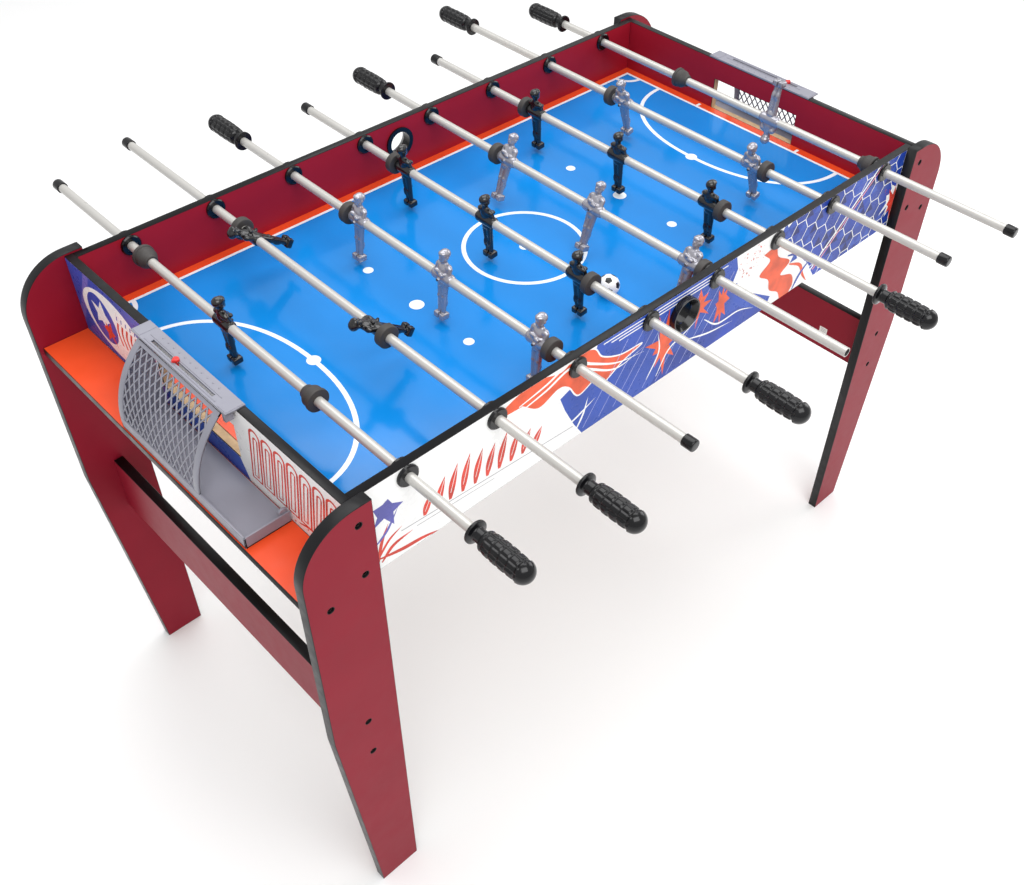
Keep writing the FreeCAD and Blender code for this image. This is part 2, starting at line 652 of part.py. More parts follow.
# a bush goes in from outside: y = 0 is the wall's outer face, +Y runs inward
bush = revolved("bush", [
    (bush_bore, -size["bush_flange_thick"]),
    (size["bush_flange"] - bevel, -size["bush_flange_thick"]),
    (size["bush_flange"], -size["bush_flange_thick"] + bevel),
    (size["bush_flange"], 0),
    (size["bush_sleeve"], 0),
    (size["bush_sleeve"], size["bush_thread_length"]),
    (bush_bore, size["bush_thread_length"]),
])
nut = revolved("bush_nut", [
    (nut_bore, size["wall_thick"]),
    (size["bush_flange"], size["wall_thick"]),
    (size["bush_flange"], nut_face - bevel),
    (size["bush_flange"] - bevel, nut_face),
    (nut_bore, nut_face),
])
bush_copies = []
for i, x in enumerate(rod_positions, start=1):
    for source in (bush, nut):
        bush_copies.append(copy_of(source, f"front_{source.Name}_{i}", x, -size["half_width"],
                                   size["rod_height"]))
        bush_copies.append(copy_of(source, f"rear_{source.Name}_{i}", x, size["half_width"],
                                   size["rod_height"], HALF_TURN))
node("rod_bushes", group("bushes", bush_copies))

# ---------------------------------------------------------------- one man
fixed_bore = size["rod_radius"] + size["fixed_play"]


def rounded(label, item, radius_name):
    """Round every edge of a block by a named radius."""
    doc.recompute()
    radius = size[radius_name].value
    fillet = doc.addObject("Part::Fillet", label)
    fillet.Base = item
    fillet.Edges = [(i, radius, radius) for i in range(1, len(item.Shape.Edges) + 1)]
    return fillet


def tapered_legs():
    """Legs narrowing from the hips to the ankles; the wedge's Y axis points down."""
    item = doc.addObject("Part::Wedge", "man_legs")
    bind(item, Ymin=0, Ymax=size["foot_reach"] - size["foot_height"] / 2,
         Xmin=-size["hip_half_depth"], Xmax=size["hip_half_depth"],
         Zmin=-size["hip_half_width"], Zmax=size["hip_half_width"],
         X2min=-size["ankle_half_depth"], X2max=size["ankle_half_depth"],
         Z2min=-size["ankle_half_width"], Z2max=size["ankle_half_width"])
    return place(item, rotation=Rotation(Vector(1, 0, 0), -90))


def man_head():
    item = doc.addObject("Part::Ellipsoid", "man_head")
    bind(item, Radius1=size["head_half_height"], Radius2=size["head_half_depth"],
         Radius3=size["head_half_width"])
    return place(item, z=size["head_reach"] - size["head_half_height"])


# a man stands across the rod axis (Y) and faces +X
chest = box("chest_block", (-size["chest_half_depth"], -size["chest_half_width"], 0),
            (size["chest_half_depth"], size["chest_half_width"], size["shoulder_reach"]))
arms = box("arms_block", (0, -size["elbow_half_width"], size["forearm_bottom"]),
           (size["forearm_front"], size["elbow_half_width"], size["forearm_top"]))
foot = box("foot_block", (-size["foot_heel"], -size["foot_half_width"], -size["foot_reach"]),
           (size["foot_toe"], size["foot_half_width"], size["foot_height"] - size["foot_reach"]))
man_body = fused("man_body", [
    man_head(),
    cylinder_z("man_neck", size["neck_radius"], 0, 0, size["shoulder_reach"] - size["neck_overlap"],
               size["head_half_height"]),
    rounded("man_chest", chest, "chest_rounding"),
    rounded("man_arms", arms, "arms_rounding"),
    cylinder_y("man_hub", size["hub_radius"], 0, -size["hub_half_width"], 0,
               size["hub_half_width"] * 2),
    tapered_legs(),
    rounded("man_foot", foot, "foot_rounding"),
])
man = cut("man", man_body, [cylinder_y("man_bore", fixed_bore, 0, -size["elbow_half_width"], 0,
                                       size["elbow_half_width"] * 2)])

# ---------------------------------------------------------------- rod parts
# grip: y = 0 is the flange's face on the table side, +Y runs outward
grip_tip = size["grip_length"] - size["grip_radius"]
groove = size["grip_groove"]
half_floor = size["grip_groove_half"]
half_groove = half_floor * 2
grip_outline = [
    (fixed_bore, 0),
    (size["grip_flange"], 0),
    (size["grip_flange"], size["grip_flange_thick"]),
    (size["grip_neck"], size["grip_flange_thick"] + 1),
    (size["grip_neck"], size["grip_neck_end"]),
    (size["grip_radius"] - 1, size["grip_shoulder"]),
    (size["grip_radius"], size["grip_shoulder"] + size["grip_shoulder_length"]),
]
for number in (1, 2, 3):
    y = size["grip_shoulder"] + size["grip_pad"] * number
    grip_outline += [
        (size["grip_radius"], y - half_groove),
        (size["grip_radius"] - groove, y - half_floor),
        (size["grip_radius"] - groove, y + half_floor),
        (size["grip_radius"], y + half_groove),
    ]
grip_outline += [
    (size["grip_radius"], grip_tip),
    (0, size["grip_length"]),
    (0, size["grip_length"] - size["grip_tip_wall"]),
    (fixed_bore, size["grip_length"] - size["grip_tip_wall"]),
]
tip_arc = {len(grip_outline) - 4: ((0, grip_tip), True)}
grip = revolved("grip", grip_outline, tip_arc)
tube_in_grip = size["grip_length"] - size["grip_tube_stop"]

# cap: y = 0 is its closed end, +Y runs toward the table
cap = revolved("cap", [
    (0, 0), (size["cap_radius"] - size["cap_chamfer"], 0), (size["cap_radius"], size["cap_chamfer"]),
    (size["cap_radius"], size["cap_length"]), (fixed_bore, size["cap_length"]),
    (fixed_bore, size["cap_floor"]), (0, size["cap_floor"]),
])

half_ring = size["bumper_length"] / 2
bevel = size["bumper_chamfer"]
ring_bumper = revolved("ring_bumper", [
    (bush_bore, -half_ring),
    (size["bumper_radius"] - bevel, -half_ring),
    (size["bumper_radius"], -half_ring + bevel),
    (size["bumper_radius"], half_ring - bevel),
    (size["bumper_radius"] - bevel, half_ring),
    (bush_bore, half_ring),
])
# cone: the wide collar is at +Y, toward the wall
half_cone = size["cone_length"] / 2
waist = size["bumper_radius"] - size["cone_collar_step"]
collar_start = half_cone - size["cone_collar"]
cone_bumper = revolved("cone_bumper", [
    (bush_bore, -half_cone),
    (size["cone_small_radius"], -half_cone),
    (waist, -half_cone + size["cone_taper"]),
    (waist, collar_start),
    (size["bumper_radius"], collar_start + size["cone_collar_slope"]),
    (size["bumper_radius"], half_cone),
    (bush_bore, half_cone),
])

# rod kinds by number of men: men along Y, bumper centre, bumper, grip flange, cap end
KINDS = {
    1: ([as_size(0)], size["goalie_bumper"], cone_bumper, size["short_rod_grip"], size["short_rod_cap"]),
    2: ([-size["pair_half_spacing"], size["pair_half_spacing"]], size["pair_bumper"], ring_bumper,
        size["long_rod_grip"], size["long_rod_cap"]),
    3: ([-size["trio_spacing"], as_size(0), size["trio_spacing"]], size["trio_bumper"], ring_bumper,
        size["short_rod_grip"], size["short_rod_cap"]),
}

for (number, men, grip_in_front, has_cap), x in zip(RODS, rod_positions):
    name = f"rod{number}"
    shift = size[f"{name}_shift"]
    z = size["rod_height"]
    men_along, bumper_y, bumper, grip_y, cap_y = KINDS[men]
    outward = -1 if grip_in_front else 1
    grip_end = (grip_y + tube_in_grip) * outward
    cap_end = (cap_y - (size["cap_floor"] if has_cap else 0)) * -outward
    tube_low, tube_high = (grip_end, cap_end) if grip_in_front else (cap_end, grip_end)
    tube_length = tube_high - tube_low
    outer = cylinder_y(f"{name}_outer", size["rod_radius"], x, tube_low + shift, z, tube_length)
    inner = cylinder_y(f"{name}_inner", size["rod_radius"] - size["tube_wall"], x, tube_low + shift, z,
                       tube_length)
    node(f"{name}_tube", cut(f"{name}_pipe", outer, [inner]))

    # front-grip rods carry the black team, which faces +X; the others face -X
    facing = Rotation() if grip_in_front else HALF_TURN
    figures = [copy_of(man, f"{name}_man_{i}", y=y, rotation=facing) for i, y in enumerate(men_along)]
    team = group(f"{name}_team", figures, x, shift, z)
    team.Placement.Rotation = Rotation(Vector(0, -1, 0), 1)
    team.setExpression("Placement.Rotation.Angle", f"{size[f'{name}_tilt'].text} * 1 deg")
    node(f"{name}_players", team)

    grip_turn = HALF_TURN if grip_in_front else Rotation()
    node(f"{name}_grip", group(f"{name}_handle", [copy_of(grip, f"{name}_grip_copy", rotation=grip_turn)],
                               x, grip_y * outward + shift, z))
    if has_cap:
        cap_turn = HALF_TURN if grip_in_front else Rotation()
        node(f"{name}_cap", group(f"{name}_end", [copy_of(cap, f"{name}_cap_copy", rotation=cap_turn)],
                                  x, cap_y * -outward + shift, z))
    node(f"{name}_bumpers", group(f"{name}_stops", [
        copy_of(bumper, f"{name}_rear_bumper", y=bumper_y),
        copy_of(bumper, f"{name}_front_bumper", y=-bumper_y, rotation=HALF_TURN),
    ], x, shift, z))

# ---------------------------------------------------------------- checks and export
doc.recompute()
for item in doc.Objects:
    if any(word in item.State for word in ("Invalid", "Error")):
        raise RuntimeError(f"{item.Name} failed to recompute: {item.State}")
os.makedirs("parts", exist_ok=True)
for item in nodes:
    if item.Shape.isNull() or not item.Shape.isValid() or not item.Shape.Solids:
        raise RuntimeError(f"{item.Label} has no valid solid")
    item.Shape.exportStep(f"parts/{item.Label}.step")
print(len(nodes), "parts written")
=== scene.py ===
"""Looks of the foosball table: boards with printed foil, moulded men, grips, goals and a ball.

Metres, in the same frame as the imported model: +Z up, origin on the floor under the table,
X from the left goal to the right goal, Y from the front side to the rear side.
"""
import math
import random

import bmesh
import bpy
from mathutils import Matrix, Vector, geometry


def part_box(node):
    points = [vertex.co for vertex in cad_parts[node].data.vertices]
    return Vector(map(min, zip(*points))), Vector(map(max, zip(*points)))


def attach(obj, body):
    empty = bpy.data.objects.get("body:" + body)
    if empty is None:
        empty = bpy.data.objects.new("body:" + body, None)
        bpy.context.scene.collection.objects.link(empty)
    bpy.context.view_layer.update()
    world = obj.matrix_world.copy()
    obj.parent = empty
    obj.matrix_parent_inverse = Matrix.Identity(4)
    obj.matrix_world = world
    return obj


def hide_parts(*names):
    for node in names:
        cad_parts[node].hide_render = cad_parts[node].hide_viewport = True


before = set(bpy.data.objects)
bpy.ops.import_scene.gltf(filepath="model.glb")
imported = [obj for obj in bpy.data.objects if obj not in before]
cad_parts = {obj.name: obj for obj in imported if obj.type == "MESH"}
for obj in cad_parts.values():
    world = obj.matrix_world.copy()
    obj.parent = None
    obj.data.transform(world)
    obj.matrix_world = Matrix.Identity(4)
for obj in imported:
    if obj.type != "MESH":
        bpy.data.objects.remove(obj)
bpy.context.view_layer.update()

MM = 0.001
TABLE = "table"

# ---------------------------------------------------------------- places taken from the frame


def low_high(node):
    """Lowest and highest corner of a node as vectors."""
    low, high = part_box(node)
    return Vector(low), Vector(high)


FRONT_LOW, FRONT_HIGH = low_high("front_side_wall")
REAR_LOW, REAR_HIGH = low_high("rear_side_wall")
END_LOW, END_HIGH = low_high("left_end_wall")
FIELD_LOW, FIELD_HIGH = low_high("playfield")
SHELF_LOW, SHELF_HIGH = low_high("left_end_shelf")
LEG_LOW, LEG_HIGH = low_high("front_left_leg")
RAIL_LOW, RAIL_HIGH = low_high("left_stretcher")
GOAL_LOW, GOAL_HIGH = low_high("left_goal")
CUP_LOW, CUP_HIGH = low_high("ball_entry_cups")
FIELD_TOP = FIELD_HIGH.z
WALL_TOP = FRONT_HIGH.z

RODS = range(1, 9)
MEN = {1: 1, 2: 2, 3: 3, 4: 3, 5: 3, 6: 3, 7: 2, 8: 1}
BLACK_TEAM = (1, 2, 4, 6)


def rod_axis(number):
    """(x, z) of a rod's axis."""
    low, high = low_high(f"rod{number}_tube")
    return (low.x + high.x) / 2, (low.z + high.z) / 2


# ---------------------------------------------------------------- materials


def node_tree(name):
    """A new material with an empty Principled shader; returns (material, nodes, links, shader)."""
    material = bpy.data.materials.new(name)
    material.use_nodes = True
    nodes, links = material.node_tree.nodes, material.node_tree.links
    return material, nodes, links, nodes["Principled BSDF"]


def noise(nodes, links, scale, detail=4.0, stretch=(1, 1, 1)):
    """Noise over the object's own coordinates; scale is in features per metre."""
    place = nodes.new("ShaderNodeTexCoord")
    mapping = nodes.new("ShaderNodeMapping")
    mapping.inputs["Scale"].default_value = stretch
    texture = nodes.new("ShaderNodeTexNoise")
    texture.inputs["Scale"].default_value = scale
    texture.inputs["Detail"].default_value = detail
    links.new(place.outputs["Object"], mapping.inputs["Vector"])
    links.new(mapping.outputs["Vector"], texture.inputs["Vector"])
    return texture.outputs["Fac"]


def spread(nodes, links, value, low, high):
    """Map a noise value (mostly 0.3 to 0.7) to a range."""
    ranged = nodes.new("ShaderNodeMapRange")
    ranged.inputs["From Min"].default_value = 0.3
    ranged.inputs["From Max"].default_value = 0.7
    ranged.inputs["To Min"].default_value = low
    ranged.inputs["To Max"].default_value = high
    links.new(value, ranged.inputs["Value"])
    return ranged.outputs["Result"]


def tint(nodes, links, value, dark, light):
    """Colour that runs from dark to light with a noise value."""
    ramp = nodes.new("ShaderNodeValToRGB")
    ramp.color_ramp.elements[0].position = 0.3
    ramp.color_ramp.elements[0].color = (*dark, 1)
    ramp.color_ramp.elements[1].position = 0.7
    ramp.color_ramp.elements[1].color = (*light, 1)
    links.new(value, ramp.inputs["Fac"])
    return ramp.outputs["Color"]


def shade(colour, factor):
    return tuple(min(1.0, c * factor) for c in colour)


def finish_material(name, colour, roughness, grain=0, bump=0, contrast=0.12, metallic=0.0,
                    coat=0.0, specular=0.5, stretch=(1, 1, 1), blotch=14.0, smear=0.2):
    """Colour with large soft blotches, roughness with smudges, and a fine bump if one is given."""
    material, nodes, links, shader = node_tree(name)
    shader.inputs["Metallic"].default_value = metallic
    shader.inputs["Specular IOR Level"].default_value = specular
    shader.inputs["Coat Weight"].default_value = coat
    shader.inputs["Coat Roughness"].default_value = 0.08
    large = noise(nodes, links, blotch, 3.0)
    links.new(tint(nodes, links, large, shade(colour, 1 - contrast), shade(colour, 1 + contrast)),
              shader.inputs["Base Color"])
    smudge = noise(nodes, links, blotch * 4, 5.0)
    links.new(spread(nodes, links, smudge, roughness * (1 - smear), roughness * (1 + smear)),
              shader.inputs["Roughness"])
    if not bump:
        return material
    relief = nodes.new("ShaderNodeBump")
    relief.inputs["Strength"].default_value = 1.0
    relief.inputs["Distance"].default_value = bump
    links.new(noise(nodes, links, grain, 2.0, stretch), relief.inputs["Height"])
    links.new(relief.outputs["Normal"], shader.inputs["Normal"])
    return material


RED = (0.235, 0.0075, 0.021)
INNER_RED = (0.33, 0.009, 0.021)
BLACK = (0.006, 0.006, 0.007)
WHITE = (0.86, 0.86, 0.85)
FIELD_BLUE = (0.004, 0.205, 0.60)
PRINT_BLUE = (0.022, 0.072, 0.40)
DEEP_BLUE = (0.012, 0.045, 0.33)
VIOLET = (0.12, 0.12, 0.42)
ORANGE = (0.78, 0.075, 0.018)
PRINT_RED = (0.62, 0.055, 0.035)
GREY = (0.235, 0.235, 0.28)

# name: colour, roughness, then what differs from a plain smooth finish
MATERIALS = {
    "red_board": (RED, 0.42, dict(contrast=0.04, specular=0.14, smear=0.06)),
    "inner_red": (INNER_RED, 0.40, dict(contrast=0.04, specular=0.18, smear=0.06)),
    "edge_band": (BLACK, 0.38, dict(grain=700, bump=0.00005, contrast=0.2, specular=0.25)),
    "underside": ((0.30, 0.20, 0.12), 0.75, dict(grain=500, bump=0.0001, contrast=0.2,
                  stretch=(1, 0.2, 1))),
    "white_print": (WHITE, 0.30, dict(contrast=0.025)),
    "blue_print": (PRINT_BLUE, 0.30, dict(contrast=0.12, blotch=22, specular=0.22)),
    "deep_blue_print": (DEEP_BLUE, 0.30, dict(contrast=0.3, specular=0.22)),
    "violet_print": (VIOLET, 0.30, dict(contrast=0.2, specular=0.22)),
    "red_print": (PRINT_RED, 0.30, dict(contrast=0.2, blotch=60, specular=0.22)),
    "orange_board": (ORANGE, 0.36, dict(contrast=0.05, specular=0.25)),
    "orange_print": ((0.74, 0.10, 0.035), 0.34, dict(contrast=0.2, blotch=50, specular=0.22)),
    "pink_print": ((0.78, 0.30, 0.32), 0.34, dict(contrast=0.1, specular=0.22)),
    "night_print": ((0.008, 0.014, 0.13), 0.34, dict(contrast=0.2, specular=0.22)),
    "line_print": ((0.42, 0.44, 0.78), 0.34, dict(contrast=0.1, specular=0.22)),
    "grey_print": ((0.30, 0.30, 0.32), 0.4, dict(contrast=0.1)),
    "raw_board": ((0.52, 0.36, 0.21), 0.8, dict(grain=1500, bump=0.00015, contrast=0.15,
                  blotch=120)),
    "field": (FIELD_BLUE, 0.16, dict(contrast=0.06, blotch=5, coat=0.1, specular=0.35)),
    "field_line": ((0.80, 0.86, 0.90), 0.16, dict(contrast=0.02, coat=0.35)),
    "field_border": (ORANGE, 0.16, dict(contrast=0.07, coat=0.35)),
    "black_gloss": ((0.004, 0.004, 0.005), 0.20, dict(grain=260, bump=0.00002, contrast=0.3,
                    coat=0.12, specular=0.3)),
    "black_man": (BLACK, 0.22, dict(grain=500, bump=0.00005, contrast=0.3, coat=0.3)),
    "grey_man": ((0.34, 0.335, 0.375), 0.25, dict(grain=500, bump=0.00004, contrast=0.10,
                 metallic=0.55, coat=0.3)),
    "screw": ((0.02, 0.02, 0.022), 0.3, dict(metallic=0.7)),
    "grey_plastic": (GREY, 0.42, dict(grain=900, bump=0.00003, contrast=0.07)),
    "rubber": ((0.040, 0.036, 0.034), 0.62, dict(grain=900, bump=0.00006, contrast=0.15)),
    "rod": ((0.50, 0.49, 0.465), 0.30, dict(contrast=0.02, metallic=0.3, blotch=6, smear=0.1)),
    # painted shade: the tube's inside is near black to stand for the shade inside the hollow rod
    "tube_inside_painted_shade": ((0.05, 0.05, 0.05), 0.6, dict(grain=400, bump=0.00003)),
    "bolt": ((0.035, 0.022, 0.02), 0.28, dict(grain=800, bump=0.00003, metallic=0.8)),
    "marker": ((0.60, 0.02, 0.015), 0.28, dict(grain=600, bump=0.00002, contrast=0.1)),
    "ball_white": ((0.85, 0.85, 0.84), 0.30, dict(grain=900, bump=0.00003, contrast=0.03)),
    "ball_black": ((0.008, 0.008, 0.009), 0.30, dict(grain=900, bump=0.00003)),
    "label": ((0.82, 0.80, 0.76), 0.5, dict(grain=900, bump=0.00002, contrast=0.04)),
}
MAT = {name: finish_material(name, colour, roughness, **extra)
       for name, (colour, roughness, extra) in MATERIALS.items()}

# ---------------------------------------------------------------- mesh helpers


def piece(name, mesh, materials, body, replaced=(), smooth=True):
    """Link a mesh as a piece that rides on a body."""
    item = bpy.data.objects.new(name, mesh)
    bpy.context.scene.collection.objects.link(item)
    for material in materials:
        mesh.materials.append(MAT[material])
    for polygon in mesh.polygons:
        polygon.use_smooth = smooth
    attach(item, body)
    if replaced:
        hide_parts(*replaced)
    return item


def mesh_from(name, vertices, faces, indices=None):
    mesh = bpy.data.meshes.new(name)
    mesh.from_pydata([tuple(v) for v in vertices], [], faces)
    if indices:
        for polygon, index in zip(mesh.polygons, indices):
            polygon.material_index = index
    mesh.update()
    return mesh


def arc_points(centre, radius, start, end, steps):
    """Points on a circle in a plane, angles in degrees."""
    angles = [math.radians(start + (end - start) * i / steps) for i in range(steps + 1)]
    return [(centre[0] + radius * math.cos(a), centre[1] + radius * math.sin(a)) for a in angles]


def shifted_loop(loop, inset):
    """Move each corner of a closed loop inward along its mitre (the loop runs anticlockwise)."""
    moved = []
    for i, here in enumerate(loop):
        before, after = Vector(loop[i - 1]), Vector(loop[(i + 1) % len(loop)])
        here = Vector(here)
        incoming, outgoing = (here - before).normalized(), (after - here).normalized()
        inward = Vector((-incoming.y, incoming.x)) + Vector((-outgoing.y, outgoing.x))
        length = inward.length_squared
        moved.append(here + inward * (2 * inset / length))
    return moved


def board_mesh(name, loops, thickness, rounding=0.0008, steps=3):
    """Board in its own plane: outline first (anticlockwise), then holes (clockwise).

    Face 0 looks along +w, face 1 along -w; the rounded rim has material 2.
    """
    vertices, faces, indices = [], [], []
    levels = []
    for i in range(steps + 1):
        angle = math.pi / 2 * i / steps
        levels.append((rounding * (1 - math.sin(angle)), rounding * (1 - math.cos(angle))))
    rings = levels + [(inset, thickness - depth) for inset, depth in reversed(levels)]
    caps = []
    for loop in loops:
        starts = []
        for inset, depth in rings:
            starts.append(len(vertices))
            vertices += [(p.x, p.y, -depth) for p in shifted_loop(loop, inset)]
        count = len(loop)
        for low, high in zip(starts, starts[1:]):
            for i in range(count):
                j = (i + 1) % count
                faces.append((low + i, high + i, high + j, low + j))
                indices.append(2)
        caps.append((starts[0], starts[-1], count))
    for side, (index, flip) in enumerate(((0, False), (1, True))):
        polygons = [[Vector(vertices[cap[side] + i]) for i in range(cap[2])] for cap in caps]
        numbers = [cap[side] + i for cap in caps for i in range(cap[2])]
        for triangle in geometry.tessellate_polygon(polygons):
            corners = [numbers[i] for i in triangle]
            a, b, c = (Vector(vertices[i]) for i in corners)
            upward = (b - a).cross(c - a).z > 0
            faces.append(tuple(corners if upward != flip else reversed(corners)))
            indices.append(index)
    return mesh_from(name, vertices, faces, indices)


def rectangle(low, high):
    return [(low[0], low[1]), (high[0], low[1]), (high[0], high[1]), (low[0], high[1])]


def hole(centre, radius, steps=32):
    """Round hole, clockwise."""
    return arc_points(centre, radius, 360, 0, steps)[:-1]


def stand(mesh, u, v, w, origin):
    """Put a board mesh into the frame: its plane's axes become u and v, its outward side w."""
    matrix = Matrix((u, v, w)).transposed().to_4x4()
    matrix.translation = origin
    mesh.transform(matrix)
    return mesh


X, Y, Z = Vector((1, 0, 0)), Vector((0, 1, 0)), Vector((0, 0, 1))


def flat_shade_caps(item):
    """Keep the board's faces flat and its rim smooth."""
    for polygon in item.data.polygons:
        polygon.use_smooth = polygon.material_index == 2
    return item


def board(name, loops, thickness, axes, origin, materials, replaced):
    mesh = stand(board_mesh(name, loops, thickness), *axes, origin)
    return flat_shade_caps(piece(name, mesh, materials, TABLE, replaced))


# ---------------------------------------------------------------- cabinet boards
BUSH_HOLE = 0.0103
PORT_HOLE = 0.0208
PORT_Z = (CUP_LOW.z + CUP_HIGH.z) / 2


def side_wall(name, node, outward):
    """Side wall with holes for rods and ball entry; its outer face looks along outward (+Y or -Y)."""
    low, high = low_high(node)
    u = X * -outward
    loop = rectangle((-high.x, low.z), (high.x, high.z))
    holes = []
    for number in RODS:
        x, z = rod_axis(number)
        holes.append(hole((x * -outward, z), BUSH_HOLE))
    holes.append(hole((0, PORT_Z), PORT_HOLE))
    outer_y = low.y if outward < 0 else high.y
    board(name, [loop] + holes, high.y - low.y, (u, Z, Y * outward), (0, outer_y, 0),
          ["white_print", "inner_red", "edge_band"], [node])


MOUTH_HALF = 0.085
MOUTH_HEIGHT = 0.052


def end_wall(name, node, outward):
    """End wall with the goal mouth; its outer face looks along outward (+X or -X)."""
    low, high = low_high(node)
    loop = rectangle((low.y, low.z), (high.y, high.z))
    mouth = rectangle((-MOUTH_HALF, FIELD_TOP), (MOUTH_HALF, FIELD_TOP + MOUTH_HEIGHT))[::-1]
    outer_x = low.x if outward < 0 else high.x
    board(name, [loop, mouth], high.x - low.x, (Y * outward, Z, X * outward), (outer_x, 0, 0),
          ["white_print", "inner_red", "edge_band"], [node])


side_wall("front_wall_board", "front_side_wall", -1)
side_wall("rear_wall_board", "rear_side_wall", 1)
end_wall("left_wall_board", "left_end_wall", -1)
end_wall("right_wall_board", "right_end_wall", 1)

board("field_board", [rectangle((FIELD_LOW.x, FIELD_LOW.y), (FIELD_HIGH.x, FIELD_HIGH.y))],
      FIELD_HIGH.z - FIELD_LOW.z, (X, Y, Z), (0, 0, FIELD_TOP),
      ["field", "underside", "edge_band"], ["playfield"])

for side in ("left", "right"):
    low, high = low_high(f"{side}_end_shelf")
    board(f"{side}_shelf_board", [rectangle((low.x, low.y), (high.x, high.y))], high.z - low.z,
          (X, Y, Z), (0, 0, high.z), ["orange_board", "edge_band", "edge_band"],
          [f"{side}_end_shelf"])
    low, high = low_high(f"{side}_stretcher")
    board(f"{side}_stretcher_board", [rectangle((low.y, low.z), (high.y, high.z))],
          high.x - low.x, (Y, Z, X), (high.x, 0, 0), ["red_board", "red_board", "edge_band"],
          [f"{side}_stretcher"])

# legs: one outline, put in four places
LEG_CORNER = 0.075
LEG_BEND = 0.423
FOOT_OUTER = 0.577
BOLT_RECESS = 0.0043
END_MIDDLE = (END_LOW.x + END_HIGH.x) / 2
RAIL_MIDDLE = (RAIL_LOW.x + RAIL_HIGH.x) / 2
RAIL_CENTRE = (RAIL_LOW.z + RAIL_HIGH.z) / 2
BOLT_SPOTS = [
    (END_MIDDLE, 0.770),
    (END_MIDDLE, 0.690),
    (-0.582, (SHELF_LOW.z + SHELF_HIGH.z) / 2),
    (RAIL_MIDDLE, RAIL_CENTRE + 0.035),
    (RAIL_MIDDLE, RAIL_CENTRE - 0.035),
]


def leg_outline():
    """Left leg seen from the front, anticlockwise from the foot's inner corner."""
    outer, top = LEG_LOW.x, LEG_HIGH.z
    corner = (outer + LEG_CORNER, top - LEG_CORNER)
    return ([(LEG_HIGH.x, 0), (LEG_HIGH.x, top)] + arc_points(corner, LEG_CORNER, 90, 180, 24)
            + [(outer, LEG_BEND), (-FOOT_OUTER, 0)])


for side, mirror in (("left", 1), ("right", -1)):
    for depth, outward in (("front", -1), ("rear", 1)):
        node = f"{depth}_{side}_leg"
        low, high = low_high(node)
        # the board's own u axis keeps the outward face's handedness
        flip = -outward * mirror
        loops = [leg_outline()] + [hole(spot, BOLT_RECESS, 20) for spot in BOLT_SPOTS]
        loops = [[(x * flip, z) for x, z in loop][::flip] for loop in loops]
        outer_y = low.y if outward < 0 else high.y
        board(f"{node}_board", loops, high.y - low.y, (X * -outward, Z, Y * outward),
              (0, outer_y, 0), ["red_board", "red_board", "edge_band"], [node])

# ---------------------------------------------------------------- playfield print
PRINT = 0.00006
LAYER = 0.000002
LINE = 0.0065
FIELD_X, FIELD_Y = 0.510, 0.267
CIRCLE_RADIUS, CORNER_RADIUS = 0.089, 0.030
SPOT_X, SPOT_Y = 0.203, 0.107
TICK_REACH, TICK_HALF, TICK_SPREAD = 0.006, 0.0025, 0.105


def ribbon(points, width, closed=False):
    """Flat strip along a line: (vertices, faces) in the plane."""
    points = [Vector(p) for p in points]
    count = len(points)
    vertices = []
    for i, here in enumerate(points):
        before = points[i - 1] if closed or i else None
        after = points[(i + 1) % count] if closed or i < count - 1 else None
        along = ((here - before).normalized() if before is not None else Vector((0, 0)))
        along += ((after - here).normalized() if after is not None else Vector((0, 0)))
        along.normalize()
        half = width(i / (count - 1)) / 2 if callable(width) else width / 2
        side = Vector((-along.y, along.x)) * half
        vertices += [here + side, here - side]
    faces = []
    for i in range(count if closed else count - 1):
        j = (i + 1) % count
        faces.append((2 * i, 2 * i + 1, 2 * j + 1, 2 * j))
    return vertices, faces


def disc(centre, radius, steps=40):
    return [Vector(p) for p in arc_points(centre, radius, 0, 360, steps)[:-1]]


class Print:
    """Flat ink shapes on one face of a board, cut off at the edges of its clear rectangles."""

    def __init__(self, name, axes, origin, windows, slot):
        self.name, self.axes, self.origin = name, axes, Vector(origin)
        self.windows, self.slot = windows, slot
        self.lift = PRINT
        self.vertices, self.faces, self.indices, self.inks = [], [], [], []

    def add(self, ink, polygon):
        """Put one convex polygon on the face, on top of what is there."""
        if ink not in self.inks:
            self.inks.append(ink)
        u, v, w = self.axes
        for low, high in self.windows:
            part = clipped(polygon, low, high)
            if len(part) < 3:
                continue
            start = len(self.vertices)
            self.vertices += [self.origin + u * p[0] + v * p[1] + w * self.lift for p in part]
            self.faces.append(tuple(range(start, len(self.vertices))))
            self.indices.append(self.inks.index(ink))

    def shape(self, ink, outline):
        """Any outline, cut into triangles."""
        self.lift += LAYER
        outline = [Vector((p[0], p[1], 0)) for p in outline]
        for triangle in geometry.tessellate_polygon([outline]):
            corners = [outline[i] for i in triangle]
            if (corners[1] - corners[0]).cross(corners[2] - corners[0]).z < 0:
                corners.reverse()
            self.add(ink, [(c.x, c.y) for c in corners])

    def stroke(self, ink, points, width, closed=False):
        """Strip along a line."""
        self.lift += LAYER
        vertices, faces = ribbon(points, width, closed)
        for face in faces:
            corners = [vertices[i] for i in face]
            if area_of(corners) < 0:
                corners.reverse()
            self.add(ink, corners)

    def patch(self, ink, outline):
        """Shape given in millimetres."""
        self.shape(ink, mm(outline))

    def brush(self, ink, points, widest):
        """Tapered stroke along a curve through points in millimetres."""
        self.stroke(ink, smooth_line(mm(points)), taper(widest))

    def done(self):
        mesh = mesh_from(self.name, self.vertices, self.faces, self.indices)
        return piece(self.name, mesh, self.inks, TABLE, smooth=False)


def area_of(corners):
    total = 0.0
    for i, here in enumerate(corners):
        after = corners[(i + 1) % len(corners)]
        total += here[0] * after[1] - after[0] * here[1]
    return total / 2


